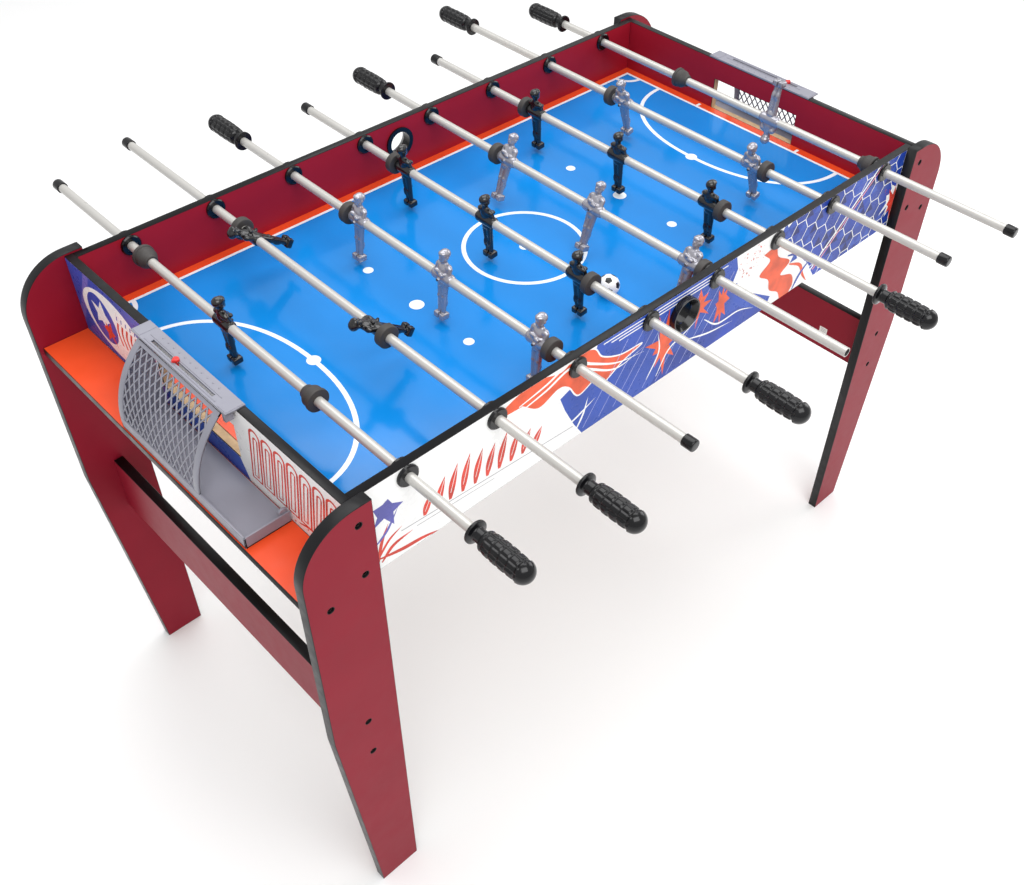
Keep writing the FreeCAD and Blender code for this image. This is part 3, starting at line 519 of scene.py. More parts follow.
def clipped(polygon, low, high):
    """Convex polygon cut to a rectangle."""
    for axis, bound, sign in ((0, low[0], 1), (0, high[0], -1), (1, low[1], 1), (1, high[1], -1)):
        kept = []
        for i, here in enumerate(polygon):
            after = polygon[(i + 1) % len(polygon)]
            d_here, d_after = (here[axis] - bound) * sign, (after[axis] - bound) * sign
            if d_here >= 0:
                kept.append(here)
            if (d_here >= 0) != (d_after >= 0):
                t = d_here / (d_here - d_after)
                kept.append((here[0] + (after[0] - here[0]) * t, here[1] + (after[1] - here[1]) * t))
        polygon = kept
        if not polygon:
            break
    return polygon


AREA_DEPTH, AREA_HALF, AREA_POWER = 0.136, 0.190, 2.2


def goal_area(sign):
    """Flattened D in front of a goal: a superellipse whose ends meet the boundary line."""
    points = []
    for i in range(49):
        angle = math.pi * (i / 48 - 0.5)
        reach = AREA_DEPTH * abs(math.cos(angle)) ** (2 / AREA_POWER)
        y = AREA_HALF * math.copysign(abs(math.sin(angle)) ** (2 / AREA_POWER), angle)
        points.append((sign * (FIELD_X - reach), y))
    return points


field_print = Print("field_markings", (X, Y, Z), (0, 0, FIELD_TOP),
                    [((FIELD_LOW.x, FIELD_LOW.y), (FIELD_HIGH.x, FIELD_HIGH.y))], "playfield")
outer = rectangle((FIELD_LOW.x, FIELD_LOW.y), (FIELD_HIGH.x, FIELD_HIGH.y))
inner = rectangle((-FIELD_X, -FIELD_Y), (FIELD_X, FIELD_Y))
for i in range(4):
    j = (i + 1) % 4
    field_print.add("field_border", [outer[i], outer[j], inner[j], inner[i]])
field_print.stroke("field_line", inner, LINE, closed=True)
field_print.stroke("field_line", disc((0, 0), CIRCLE_RADIUS, 64), LINE, closed=True)
field_print.shape("field_line", disc((0, 0), 0.008))
for sign in (-1, 1):
    field_print.stroke("field_line", goal_area(sign), LINE)
for sign in (-1, 1):
    field_print.shape("field_line", disc((sign * (FIELD_X - AREA_DEPTH), 0), 0.0095))
    field_print.shape("field_line", disc((sign * SPOT_X, 0), 0.0105))
    for y in (-1, 1):
        field_print.shape("field_line", disc((sign * SPOT_X, y * SPOT_Y), 0.0075))
        corner = (sign * FIELD_X, y * FIELD_Y)
        turn = {(1, 1): 180, (-1, 1): 270, (-1, -1): 0, (1, -1): 90}[(sign, y)]
        field_print.stroke("field_line", arc_points(corner, CORNER_RADIUS, turn, turn + 90, 12), LINE)
        tick_x, tick_y = sign * (FIELD_X + TICK_REACH), y * TICK_SPREAD
        field_print.add("field_line", rectangle((tick_x - TICK_REACH, tick_y - TICK_HALF),
                                                (tick_x + TICK_REACH, tick_y + TICK_HALF)))
field_print.done()

# ---------------------------------------------------------------- round parts


def lathe(name, profile, steps=48):
    """Turn (radius, y) points about the Y axis; the ends close on the axis where the radius is 0."""
    vertices, faces = [], []
    rings = []
    for radius, y in profile:
        if radius < 1e-7:
            rings.append([len(vertices)] * steps)
            vertices.append((0, y, 0))
            continue
        rings.append(list(range(len(vertices), len(vertices) + steps)))
        for i in range(steps):
            angle = 2 * math.pi * i / steps
            vertices.append((radius * math.cos(angle), y, radius * math.sin(angle)))
    for low, high in zip(rings, rings[1:]):
        for i in range(steps):
            j = (i + 1) % steps
            corners = [low[i], high[i], high[j], low[j]]
            faces.append(tuple(dict.fromkeys(corners)))
    return mesh_from(name, vertices, faces)


def rounded_profile(points, radius, steps=4):
    """Replace each inner corner of a polyline by a short curve."""
    smooth = [points[0]]
    for before, here, after in zip(points, points[1:], points[2:]):
        here = Vector(here)
        start, end = Vector(before) - here, Vector(after) - here
        cut = min(radius, start.length * 0.45, end.length * 0.45)
        a, b = here + start.normalized() * cut, here + end.normalized() * cut
        for i in range(steps + 1):
            t = i / steps
            smooth.append(tuple(a.lerp(here, t).lerp(here.lerp(b, t), t)))
    smooth.append(points[-1])
    return smooth


def merged(name, meshes, one_material=False):
    """Join meshes, keeping their material numbers unless one material is asked for."""
    target = bmesh.new()
    for mesh in meshes:
        target.from_mesh(mesh)
    if one_material:
        for face in target.faces:
            face.material_index = 0
    result = bpy.data.meshes.new(name)
    target.to_mesh(result)
    target.free()
    return result


def rod_place(number, y=0.0, tilt=0.0, facing=1):
    """Matrix that puts a part made about the Y axis onto a rod."""
    x, z = rod_axis(number)
    turn = Matrix.Rotation(math.radians(-tilt), 4, "Y")
    if facing < 0:
        turn = turn @ Matrix.Rotation(math.pi, 4, "Z")
    return Matrix.Translation((x, y, z)) @ turn


def placed(mesh, matrix, name):
    copy = mesh.copy()
    copy.name = name
    copy.transform(matrix)
    return copy


# grip: flange, neck and a bulb with rows of rounded pads
GRIP_LENGTH = 0.086
GRIP_RADIUS = 0.014
PAD_RINGS = (0.0215, 0.0335, 0.0455, 0.0575, 0.0695)
PAD_COUNT = 9
PAD_DEPTH = 0.0016
PAD_GROOVE = 0.0011


def groove(distance):
    """1 in the middle of a groove, falling smoothly to 0 beside it."""
    t = min(1.0, abs(distance) / (2.2 * PAD_GROOVE))
    return 1 - t * t * (3 - 2 * t)


def bulb_radius(y):
    """Grip radius over the pads: a shoulder behind the neck and a round end."""
    neck_end, shoulder_end = 0.0155, 0.0215
    tip_start = GRIP_LENGTH - GRIP_RADIUS
    if y < shoulder_end:
        t = (y - neck_end) / (shoulder_end - neck_end)
        t = max(0.0, t)
        return 0.0085 + (GRIP_RADIUS - 0.0008 - 0.0085) * math.sqrt(t * (2 - t))
    if y > tip_start:
        return math.sqrt(max(0.0, GRIP_RADIUS ** 2 - (y - tip_start) ** 2))
    waist = math.sin(math.pi * (y - shoulder_end) / (tip_start - shoulder_end))
    return GRIP_RADIUS - 0.0008 * (1 - waist)


def grip_mesh():
    flange = rounded_profile([(0.0064, 0.0), (0.0145, 0.0), (0.0145, 0.0035), (0.0092, 0.0050),
                              (0.0085, 0.0065), (0.0085, 0.0155)], 0.0012)
    neck = lathe("grip_neck", flange, 64)
    steps, rows = 108, 104
    start = 0.0150
    vertices, faces = [], []
    for row in range(rows + 1):
        y = start + (GRIP_LENGTH - start) * math.sin(math.pi / 2 * row / rows) ** 0.9
        base = bulb_radius(y)
        for i in range(steps):
            angle = 2 * math.pi * i / steps
            pad_arc = 2 * math.pi / PAD_COUNT
            off_line = (angle % pad_arc - pad_arc / 2) * base
            ring = max(groove(y - r) for r in PAD_RINGS)
            along = groove(off_line) if PAD_RINGS[0] < y < PAD_RINGS[-1] + 0.005 else 0.0
            radius = base - PAD_DEPTH * max(ring, along) * min(1.0, base / 0.010)
            vertices.append((radius * math.cos(angle), y, radius * math.sin(angle)))
    for row in range(rows):
        for i in range(steps):
            j = (i + 1) % steps
            a, b = row * steps, (row + 1) * steps
            faces.append((a + i, b + i, b + j, a + j))
    return merged("grip", [neck, mesh_from("grip_bulb", vertices, faces)])


GRIP = grip_mesh()
CAP = lathe("cap", rounded_profile([(0, 0), (0.0080, 0), (0.0080, 0.0155), (0.0074, 0.016),
                                    (0.0064, 0.016)], 0.0022))
RING = lathe("ring_bumper", rounded_profile(
    [(0.0065, -0.006), (0.0112, -0.006), (0.0155, -0.0052), (0.0155, 0.0052), (0.0112, 0.006),
     (0.0065, 0.006)], 0.0014), 64)
CONE = lathe("cone_bumper", rounded_profile(
    [(0.0065, -0.012), (0.0090, -0.012), (0.0096, -0.0085), (0.0140, -0.0015), (0.0140, 0.0068),
     (0.0155, 0.0072), (0.0155, 0.0120), (0.0065, 0.012)], 0.0012), 64)

# one man, in millimetres: facing +X, the rod through the origin along Y


def ball_part(centre, radii):
    return ("ball", Vector(centre), Vector(radii))


def limb(start, end, start_radius, end_radius):
    return ("limb", Vector(start), Vector(end), start_radius, end_radius)


def block(centre, half):
    return ("block", Vector(centre), Vector(half))


def mirror_y(point):
    return (point[0], -point[1], point[2])


def both_sides(kind, *points_and_sizes):
    """Left and right copies of a part; only place tuples are mirrored."""
    places = 2 if kind is limb else 1
    mirrored = [mirror_y(p) if i < places else p for i, p in enumerate(points_and_sizes)]
    return [kind(*points_and_sizes), kind(*mirrored)]


MAN_PARTS = [
    ball_part((0.4, 0, 31.4), (7.2, 6.5, 9.0)),
    ball_part((3.4, 0, 27.2), (4.3, 4.5, 4.6)),
    ball_part((-1.2, 0, 33.6), (7.6, 7.2, 6.8)),
    ball_part((2.0, 0, 35.6), (6.6, 6.2, 3.6)),
    ball_part((7.6, 0, 30.4), (1.5, 1.1, 2.0)),
    ball_part((6.4, 0, 33.2), (1.7, 4.2, 0.9)),
    limb((-0.8, 0, 18), (0, 0, 27), 4.6, 3.9),
    limb((-0.8, -8.4, 16.0), (-0.8, 8.4, 16.0), 4.8, 4.8),
    ball_part((-0.8, 0, 18.2), (4.6, 8.4, 4.2)),
    ball_part((0.2, 0, 10.5), (7.0, 10.2, 10.5)),
    limb((0, -12.2, 0), (0, 12.2, 0), 8.5, 8.5),
    limb((2.2, 11.6, 5.6), (8.0, -4.2, 10.4), 3.1, 2.7),
    limb((2.2, -11.6, 5.6), (8.6, 3.8, 7.0), 3.1, 2.7),
    ball_part((8.0, -5.6, 10.6), (2.8, 3.2, 2.8)),
    ball_part((8.6, 5.2, 7.0), (2.8, 3.2, 2.8)),
    ball_part((0, 0, -8.5), (6.6, 8.8, 7.6)),
    limb((0, 0, -18), (0, 0, -50), 3.4, 2.4),
    limb((8.0, 0, -1.5), (9.2, 0, -1.5), 2.7, 2.5),
]
MAN_PARTS += both_sides(ball_part, (0.2, 7.0, 30.6), (1.6, 1.0, 2.3))
MAN_PARTS += both_sides(limb, (-0.6, 11.2, 15.2), (1.6, 12.0, 5.4), 3.5, 3.2)
MAN_PARTS += both_sides(limb, (0, 4.3, -9), (0, 3.1, -54), 4.9, 3.3)
MAN_PARTS += both_sides(ball_part, (-1.4, 3.7, -39), (4.3, 3.6, 8.5))
MAN_PARTS += both_sides(ball_part, (1.2, 3.9, -29), (4.0, 3.4, 4.6))
MAN_PARTS += both_sides(block, (0.4, 4.9, -59.0), (6.9, 4.4, 4.6))
MAN_PARTS += both_sides(ball_part, (4.2, 4.9, -60.0), (3.7, 4.6, 3.8))
SCREW_PLACE = (0.0117, 0, -0.0015)
MELT_SIZE = 0.55
RELAX_STEPS = 3
KEPT_FACES = 0.22


def part_shell(part, target):
    """Add one closed shell of the man to a bmesh."""
    if part[0] == "ball":
        _, centre, radii = part
        made = bmesh.ops.create_icosphere(target, subdivisions=4, radius=1.0)["verts"]
        for vertex in made:
            vertex.co = centre + Vector(a * b for a, b in zip(vertex.co, radii))
    elif part[0] == "limb":
        _, start, end, r_start, r_end = part
        along = end - start
        turn = along.to_track_quat("Z", "Y").to_matrix()
        made = bmesh.ops.create_icosphere(target, subdivisions=4, radius=1.0)["verts"]
        for vertex in made:
            low = vertex.co.z < 0
            radius, base = (r_start, start) if low else (r_end, end)
            vertex.co = base + turn @ (vertex.co * radius)
    else:
        _, centre, half = part
        made = bmesh.ops.create_cube(target, size=2.0)["verts"]
        edges = list({edge for vertex in made for edge in vertex.link_edges})
        for vertex in made:
            vertex.co = centre + Vector(a * b for a, b in zip(vertex.co, half))
        bmesh.ops.bevel(target, geom=edges, offset=2.4, segments=3, affect="EDGES", profile=0.6)


def man_mesh():
    """All shells of the man melted together and thinned to a light mesh, in metres."""
    source = bmesh.new()
    for part in MAN_PARTS:
        part_shell(part, source)
    raw = bpy.data.meshes.new("man_raw")
    source.to_mesh(raw)
    source.free()
    holder = bpy.data.objects.new("man_raw", raw)
    bpy.context.scene.collection.objects.link(holder)
    remesh = holder.modifiers.new("melt", "REMESH")
    remesh.mode = "VOXEL"
    remesh.voxel_size = MELT_SIZE
    relax = holder.modifiers.new("relax", "SMOOTH")
    relax.factor = 0.5
    relax.iterations = RELAX_STEPS
    thin = holder.modifiers.new("thin", "DECIMATE")
    thin.ratio = KEPT_FACES
    evaluated = holder.evaluated_get(bpy.context.evaluated_depsgraph_get())
    mesh = bpy.data.meshes.new_from_object(evaluated)
    bpy.data.objects.remove(holder)
    mesh.transform(Matrix.Scale(MM, 4))
    screw = lathe("screw", [(0, -0.0006), (0.0007, -0.0006), (0.0009, 0), (0.0017, 0), (0.0018, -0.0008)], 16)
    for polygon in screw.polygons:
        polygon.material_index = 1
    screw.transform(Matrix.Translation(SCREW_PLACE) @ Matrix.Rotation(-math.pi / 2, 4, "Z"))
    return merged("man", [mesh, screw])


MAN = man_mesh()

# ---------------------------------------------------------------- rods
TRIO_SPACING, PAIR_HALF = 0.178, 0.1315
BUMPER_CENTRE = {1: 0.182, 2: 0.1565, 3: 0.2005}
MEN_ALONG = {1: (0,), 2: (-PAIR_HALF, PAIR_HALF), 3: (-TRIO_SPACING, 0, TRIO_SPACING)}
TILT = {1: 3, 2: 57, 3: -6, 4: 5, 5: -20, 6: 5, 7: 15, 8: 172}


def linked(name, mesh, matrix, materials, body, node):
    """A piece that is a placed copy of a shared mesh and stands for a CAD node."""
    piece(name, placed(mesh, matrix, name), materials, body, [node])


for number in RODS:
    rod = f"rod{number}"
    men = MEN[number]
    black = number in BLACK_TEAM
    low, high = low_high(f"{rod}_bumpers")
    middle = (low.y + high.y) / 2
    for i, y in enumerate(MEN_ALONG[men], start=1):
        linked(f"{rod}_man_{i}", MAN, rod_place(number, middle + y, TILT[number], 1 if black else -1),
               ["black_man" if black else "grey_man", "screw"], rod, f"{rod}_players")
    low, high = low_high(f"{rod}_grip")
    front = (low.y + high.y) / 2 < middle
    facing = -1 if front else 1
    linked(f"{rod}_moulded_grip", GRIP, rod_place(number, high.y if front else low.y, 0, facing),
           ["black_gloss"], rod, f"{rod}_grip")
    if f"{rod}_cap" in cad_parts:
        low, high = low_high(f"{rod}_cap")
        linked(f"{rod}_end_cap", CAP, rod_place(number, high.y if front else low.y, 0, facing),
               ["black_gloss"], rod, f"{rod}_cap")
    for end, word in ((1, "rear"), (-1, "front")):
        linked(f"{rod}_{word}_bumper", CONE if men == 1 else RING,
               rod_place(number, middle + end * BUMPER_CENTRE[men], 0, end), ["rubber"],
               f"{rod}_bumper_pair", f"{rod}_bumpers")

# ---------------------------------------------------------------- carried-over parts


def paint(node, material):
    """Give a CAD node one finished material."""
    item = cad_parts[node]
    item.data.materials.clear()
    item.data.materials.append(MAT[material])


for node in ("ball_entry_cups", "rod_bushes"):
    paint(node, "black_gloss")
for number in RODS:
    paint(f"rod{number}_tube", "rod")
    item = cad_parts[f"rod{number}_tube"]
    item.data.materials.append(MAT["tube_inside_painted_shade"])
    x, z = rod_axis(number)
    # faces that look toward the rod's axis get the near-black painted shade of the tube's inside
    for polygon in item.data.polygons:
        centre = item.matrix_world @ polygon.center - Vector((x, 0, z))
        normal = item.matrix_world.to_3x3() @ polygon.normal
        if normal.x * centre.x + normal.z * centre.z < 0:
            polygon.material_index = 1

# ---------------------------------------------------------------- ball
BALL_LOW, BALL_HIGH = low_high("ball")
BALL_CENTRE = (BALL_LOW + BALL_HIGH) / 2
BALL_RADIUS = (BALL_HIGH.x - BALL_LOW.x) / 2
SEAM_DEPTH = 0.00035
PANEL_STEPS = 8


def ball_mesh():
    """Football of pentagons (material 1) and hexagons (material 0) with sunken seams."""
    source = bmesh.new()
    bmesh.ops.create_icosphere(source, subdivisions=1, radius=1.0)
    panels = []
    for vertex in source.verts:
        axis = vertex.co.normalized()
        tips = [vertex.co.lerp(edge.other_vert(vertex).co, 1 / 3) for edge in vertex.link_edges]
        first = (tips[0] - axis * tips[0].dot(axis)).normalized()
        second = axis.cross(first)
        tips.sort(key=lambda tip: math.atan2(tip.dot(second), tip.dot(first)))
        panels.append((tips, 1))
    for face in source.faces:
        corners = [vertex.co.copy() for vertex in face.verts]
        tips = []
        for k in range(3):
            here, after = corners[k], corners[(k + 1) % 3]
            tips += [here.lerp(after, 1 / 3), here.lerp(after, 2 / 3)]
        panels.append((tips, 0))
    source.free()
    vertices, faces, indices = [], [], []
    for tips, index in panels:
        middle = sum(tips, Vector()) / len(tips)
        for k, tip in enumerate(tips):
            after = tips[(k + 1) % len(tips)]
            rows = []
            for row in range(PANEL_STEPS + 1):
                out = row / PANEL_STEPS
                line = []
                for column in range(row + 1):
                    along = column / row if row else 0
                    place = middle.lerp(tip.lerp(after, along), out).normalized()
                    edge = max(0.0, (out - 0.86) / 0.14)
                    line.append(len(vertices))
                    vertices.append(place * (BALL_RADIUS - SEAM_DEPTH * edge * edge))
                rows.append(line)
            for inner, outer_row in zip(rows, rows[1:]):
                for column, start in enumerate(inner):
                    faces.append((start, outer_row[column], outer_row[column + 1]))
                    indices.append(index)
                    if column + 1 < len(inner):
                        faces.append((start, outer_row[column + 1], inner[column + 1]))
                        indices.append(index)
    mesh = mesh_from("ball", vertices, faces, indices)
    joined = bmesh.new()
    joined.from_mesh(mesh)
    bmesh.ops.remove_doubles(joined, verts=joined.verts, dist=0.00002)
    bmesh.ops.recalc_face_normals(joined, faces=joined.faces)
    joined.to_mesh(mesh)
    joined.free()
    mesh.transform(Matrix.Translation(BALL_CENTRE) @ Matrix.Rotation(0.5, 4, (0.4, -0.7, 0.3)))
    return mesh


piece("football", ball_mesh(), ["ball_white", "ball_black"], "ball", ["ball"])

# ---------------------------------------------------------------- leg bolts
BOLT_HEAD = rounded_profile([(0, -0.0008), (0.0019, -0.0010), (0.0021, -0.0029), (0.0032, -0.0028),
                             (0.0040, -0.0014), (0.0040, 0.0), (0.0025, 0.0), (0.0025, 0.0335),
                             (0, 0.0340)], 0.0004, 3)
BOLT = lathe("bolt", BOLT_HEAD, 24)
HEAD_SEAT = 0.005
bolts = []
for sign in (-1, 1):
    for x, z in BOLT_SPOTS:
        front = Matrix.Translation((x * sign, LEG_LOW.y + HEAD_SEAT, z))
        rear = Matrix.Translation((x * sign, -LEG_LOW.y - HEAD_SEAT, z)) @ Matrix.Rotation(math.pi, 4, "Z")
        bolts += [placed(BOLT, front, "bolt"), placed(BOLT, rear, "bolt")]
piece("socket_bolts", merged("socket_bolts", bolts), ["bolt"], TABLE, ["leg_bolts"])

# ---------------------------------------------------------------- goals
NET_RADIUS = 0.141
NET_THICK = 0.0025
NET_FOOT = 0.684
NET_X = GOAL_LOW.x + NET_RADIUS
NET_LOW, NET_HIGH = -0.090, 0.088
PLATE_OUTER, PLATE_INNER = -0.553, -0.527
PLATE_HALF = 0.102
NET_ARC = NET_RADIUS * math.acos((NET_X - PLATE_OUTER) / NET_RADIUS)
TRAY_INNER = -0.541
TRAY_END = -0.182
TRAY_FLOOR, TRAY_TOP = 0.676, 0.693
SIDE_BORDER, TOP_BORDER, BOTTOM_BORDER = 0.010, 0.005, 0.010
STRAND_WIDTH, STRAND_DEPTH = 0.0017, 0.0016
CELL_WIDTH, CELL_HEIGHT = 0.0118, 0.021


def net_point(y, along, depth=0.0):
    """Place on the net: along is the arc length up from the foot, depth runs inward."""
    angle = along / NET_RADIUS
    reach = NET_RADIUS - depth
    return Vector((NET_X - reach * math.cos(angle), y, NET_FOOT + reach * math.sin(angle)))


def strip_mesh(name, path, width, outer_depth, inner_depth):
    """Bar of rectangular section that follows a path of (y, along) on the net."""
    edges, _ = ribbon(path, width)
    vertices, faces = [], []
    for left, right_side in zip(edges[::2], edges[1::2]):
        vertices += [net_point(*left, outer_depth), net_point(*right_side, outer_depth),
                     net_point(*right_side, inner_depth), net_point(*left, inner_depth)]
    rings = len(vertices) // 4
    for k in range(rings - 1):
        for side in range(4):
            a, b = 4 * k + side, 4 * k + (side + 1) % 4
            faces.append((a, a + 4, b + 4, b))
    faces += [(0, 1, 2, 3), tuple(4 * (rings - 1) + k for k in (3, 2, 1, 0))]
    return mesh_from(name, vertices, faces)


def straight_path(start, end, steps=14):
    start, end = Vector(start), Vector(end)
    return [start.lerp(end, k / steps) for k in range(steps + 1)]


def band(y_low, y_high, low, high):
    """Solid part of the net between two heights."""
    middle = (y_low + y_high) / 2
    return strip_mesh("band", straight_path((middle, low), (middle, high), 18), y_high - y_low,
                      0.0, NET_THICK)


def net_strands():
    y_low, y_high = NET_LOW + SIDE_BORDER, NET_HIGH - SIDE_BORDER
    low, high = BOTTOM_BORDER, NET_ARC - TOP_BORDER
    slope = CELL_WIDTH / CELL_HEIGHT
    reach = (high - low) * slope
    meshes = []
    for lean in (1, -1):
        start = y_low - reach if lean > 0 else y_low
        count = int((y_high - y_low + reach) / CELL_WIDTH)
        for k in range(1, count + 1):
            y = start + k * CELL_WIDTH
            first, last = (y, low), (y + lean * reach, high)
            t_low = max(0.0, min((y_low - y) / (lean * reach), (y_high - y) / (lean * reach)))
            t_high = min(1.0, max((y_low - y) / (lean * reach), (y_high - y) / (lean * reach)))
            if t_high - t_low < 0.02:
                continue
            first, last = Vector(first), Vector(last)
            meshes.append(strip_mesh("strand", straight_path(first.lerp(last, t_low),
                                                             first.lerp(last, t_high)),
                                     STRAND_WIDTH, (NET_THICK - STRAND_DEPTH) / 2,
                                     (NET_THICK + STRAND_DEPTH) / 2))
    return meshes


def upright(name, loop, thickness, axes, origin, rounding=0.0005):
    return stand(board_mesh(name, [loop], thickness, rounding, 2), *axes, origin)


def net_shell():
    """Grille, its solid borders, the closed end and the tray."""
    meshes = net_strands()
    meshes.append(band(NET_LOW, NET_LOW + SIDE_BORDER, 0, NET_ARC))
    meshes.append(band(NET_HIGH - SIDE_BORDER, NET_HIGH, 0, NET_ARC))
    meshes.append(band(NET_LOW, NET_HIGH, 0, BOTTOM_BORDER))
    meshes.append(band(NET_LOW, NET_HIGH, NET_ARC - TOP_BORDER, NET_ARC))
    curve = [(p.x, p.z) for p in (net_point(0, NET_ARC * k / 16) for k in range(17))]
    closed_end = [(GOAL_LOW.x, TRAY_FLOOR), (TRAY_INNER, TRAY_FLOOR), (TRAY_INNER, curve[-1][1])] + curve[::-1]
    meshes.append(upright("closed_end", closed_end, NET_THICK, (X, Z, -Y), (0, NET_HIGH - NET_THICK, 0)))
    meshes.append(upright("tray_wall", rectangle((TRAY_END, TRAY_FLOOR), (NET_HIGH, TRAY_TOP)),
                          NET_THICK, (Y, Z, X), (GOAL_LOW.x + NET_THICK, 0, 0)))
    meshes.append(upright("tray_floor", rectangle((GOAL_LOW.x, TRAY_END), (TRAY_INNER, NET_HIGH)),
                          NET_THICK, (X, Y, Z), (0, 0, TRAY_FLOOR + NET_THICK)))
    meshes.append(upright("tray_end", rectangle((GOAL_LOW.x, TRAY_FLOOR), (TRAY_INNER, TRAY_TOP)),
                          NET_THICK, (X, Z, -Y), (0, TRAY_END, 0)))
    # lug that holds the tray's open corner to the wall
    lug = disc((-0.5475, TRAY_TOP), 0.0062, 20)
    meshes.append(upright("lug", lug, 0.004, (X, Z, -Y), (0, TRAY_END + NET_THICK, 0), 0.001))
    # clip under the plate at the net's open end
    clip = rectangle((-0.552, 0.779), (-0.541, 0.792))
    meshes.append(upright("clip", clip, 0.007, (X, Z, -Y), (0, NET_LOW - 0.007, 0), 0.001))
    return merged("net_shell", meshes, one_material=True)


def dome(x, y, z, radius, height):
    profile = [(radius * math.cos(a), height * math.sin(a)) for a in
               (math.pi / 2 * k / 4 for k in range(5))]
    mesh = lathe("dome", [(r, h) for r, h in profile[:-1]] + [(0, height)], 16)
    mesh.transform(Matrix.Translation((x, y, z)) @ Matrix.Rotation(math.pi / 2, 4, "X"))
    return mesh


SLOT_LOW, SLOT_HIGH, SLOT_HALF = -0.547, -0.543, 0.066
PLATE_TOP = 0.796
PLATE_THICK = 0.003
POINTER_TIP, POINTER_RADIUS = 0.0052, 0.0042
BUMP_COUNT, BUMP_SPACING = 11, 0.012


def plate_mesh():
    """Top plate with the marker slot, ribs, end steps and a row of counting bumps."""
    slot = rectangle((SLOT_LOW, -SLOT_HALF), (SLOT_HIGH, SLOT_HALF))[::-1]
    outline = rectangle((PLATE_OUTER, -PLATE_HALF), (PLATE_INNER, PLATE_HALF))
    meshes = [stand(board_mesh("plate", [outline, slot], PLATE_THICK, 0.0006, 2), X, Y, Z,
                    (0, 0, PLATE_TOP))]
    for x in (-0.5495, -0.5405):
        meshes.append(upright("rib", rectangle((x - 0.0006, -0.076), (x + 0.0006, 0.076)), 0.0012,
                              (X, Y, Z), (0, 0, PLATE_TOP + 0.0006), 0.0003))
    for sign in (-1, 1):
        low, high = sorted((sign * 0.084, sign * 0.1005))
        meshes.append(upright("end_step", rectangle((PLATE_OUTER + 0.0015, low), (PLATE_INNER - 0.0015, high)),
                              0.0012, (X, Y, Z), (0, 0, PLATE_TOP + 0.0007), 0.0004))
    for k in range(BUMP_COUNT):
        meshes.append(dome(-0.5335, -0.060 + BUMP_SPACING * k, PLATE_TOP - 0.0002, 0.0017, 0.0011))
    return merged("plate", meshes, one_material=True)


def pointer_mesh(place):
    """Score pointer: an arrow-like button on a stem that runs through the slot."""
    button = [(-POINTER_TIP, 0.0)] + arc_points((0.0008, 0), POINTER_RADIUS, -105, 105, 16)
    return merged("pointer", [
        stand(board_mesh("button", [button], 0.004, 0.0009, 3), X, Y, Z, place + Z * 0.0071),
        placed(lathe("stem", [(0, -0.0031), (0.0016, -0.0031), (0.0016, 0.0017), (0.0029, 0.0017),
                              (0.0029, 0.0030), (0, 0.0030)], 20),
               Matrix.Translation(place) @ Matrix.Rotation(-math.pi / 2, 4, "X"), "stem")])


HALF_TURN = Matrix.Rotation(math.pi, 4, "Z")
PLATE = plate_mesh()
SHELL = net_shell()
RAW_EDGE = 0.0001
for side, turn in (("left", Matrix.Identity(4)), ("right", HALF_TURN)):
    node = f"{side}_goal"
    for mesh, word in ((PLATE, "top_plate"), (SHELL, "grille")):
        item = piece(f"{side}_goal_{word}", placed(mesh, turn, word), ["grey_plastic"], TABLE, [node])
        shading = item.modifiers.new("even_shading", "WEIGHTED_NORMAL")
        shading.keep_sharp = False
    low, high = low_high(f"{side}_score_marker")
    pointer = pointer_mesh(Vector((0, 0, 0)))
    pointer.transform(Matrix.Translation(((low.x + high.x) / 2, (low.y + high.y) / 2, WALL_TOP)) @ turn)
    piece(f"{side}_score_pointer", pointer, ["marker"], f"{side}_score_marker",
          [f"{side}_score_marker"], smooth=False)
    mouth_low, mouth_high = FIELD_TOP + RAW_EDGE, FIELD_TOP + MOUTH_HEIGHT - RAW_EDGE
    half = MOUTH_HALF - RAW_EDGE
    outer_x, inner_x = END_LOW.x + 0.0008, END_HIGH.x - 0.0008
    ring = [(-half, mouth_low), (half, mouth_low), (half, mouth_high), (-half, mouth_high)]
    vertices = [(x, y, z) for x in (outer_x, inner_x) for y, z in ring]
    faces = [(k, (k + 1) % 4, 4 + (k + 1) % 4, 4 + k) for k in range(4)]
    raw = mesh_from(f"{side}_mouth_edge", vertices, faces)
    raw.transform(turn)
    piece(f"{side}_mouth_edge", raw, ["raw_board"], TABLE, smooth=False)

# ---------------------------------------------------------------- wall prints


def smooth_line(points, steps=8):
    """Curve through all the points."""
    points = [Vector(p) for p in points]
    ends = [2 * points[0] - points[1]] + points + [2 * points[-1] - points[-2]]
    curve = []
    for a, b, c, d in zip(ends, ends[1:], ends[2:], ends[3:]):
        for k in range(steps):
            t = k / steps
            curve.append((2 * b + (c - a) * t + (2 * a - 5 * b + 4 * c - d) * t * t
                          + (3 * b - a - 3 * c + d) * t ** 3) / 2)
    curve.append(points[-1])
    return curve


def taper(widest):
    """Brush stroke width: thin at both ends."""
    return lambda t: widest * max(0.05, math.sin(math.pi * min(1.0, 0.12 + 0.88 * t)))


def splash(centre, reach, seed, spikes=11, flat=1.0, turn=0.0):
    """Irregular star outline."""
    rng = random.Random(seed)
    outline = []
    for k in range(spikes * 2):
        angle = math.pi * k / spikes + rng.uniform(-0.12, 0.12)
        far = reach * (rng.uniform(0.7, 1.3) if k % 2 == 0 else rng.uniform(0.35, 0.6))
        x, y = far * math.cos(angle), far * math.sin(angle) * flat
        outline.append((centre[0] + x * math.cos(turn) - y * math.sin(turn),
                        centre[1] + x * math.sin(turn) + y * math.cos(turn)))
    return outline


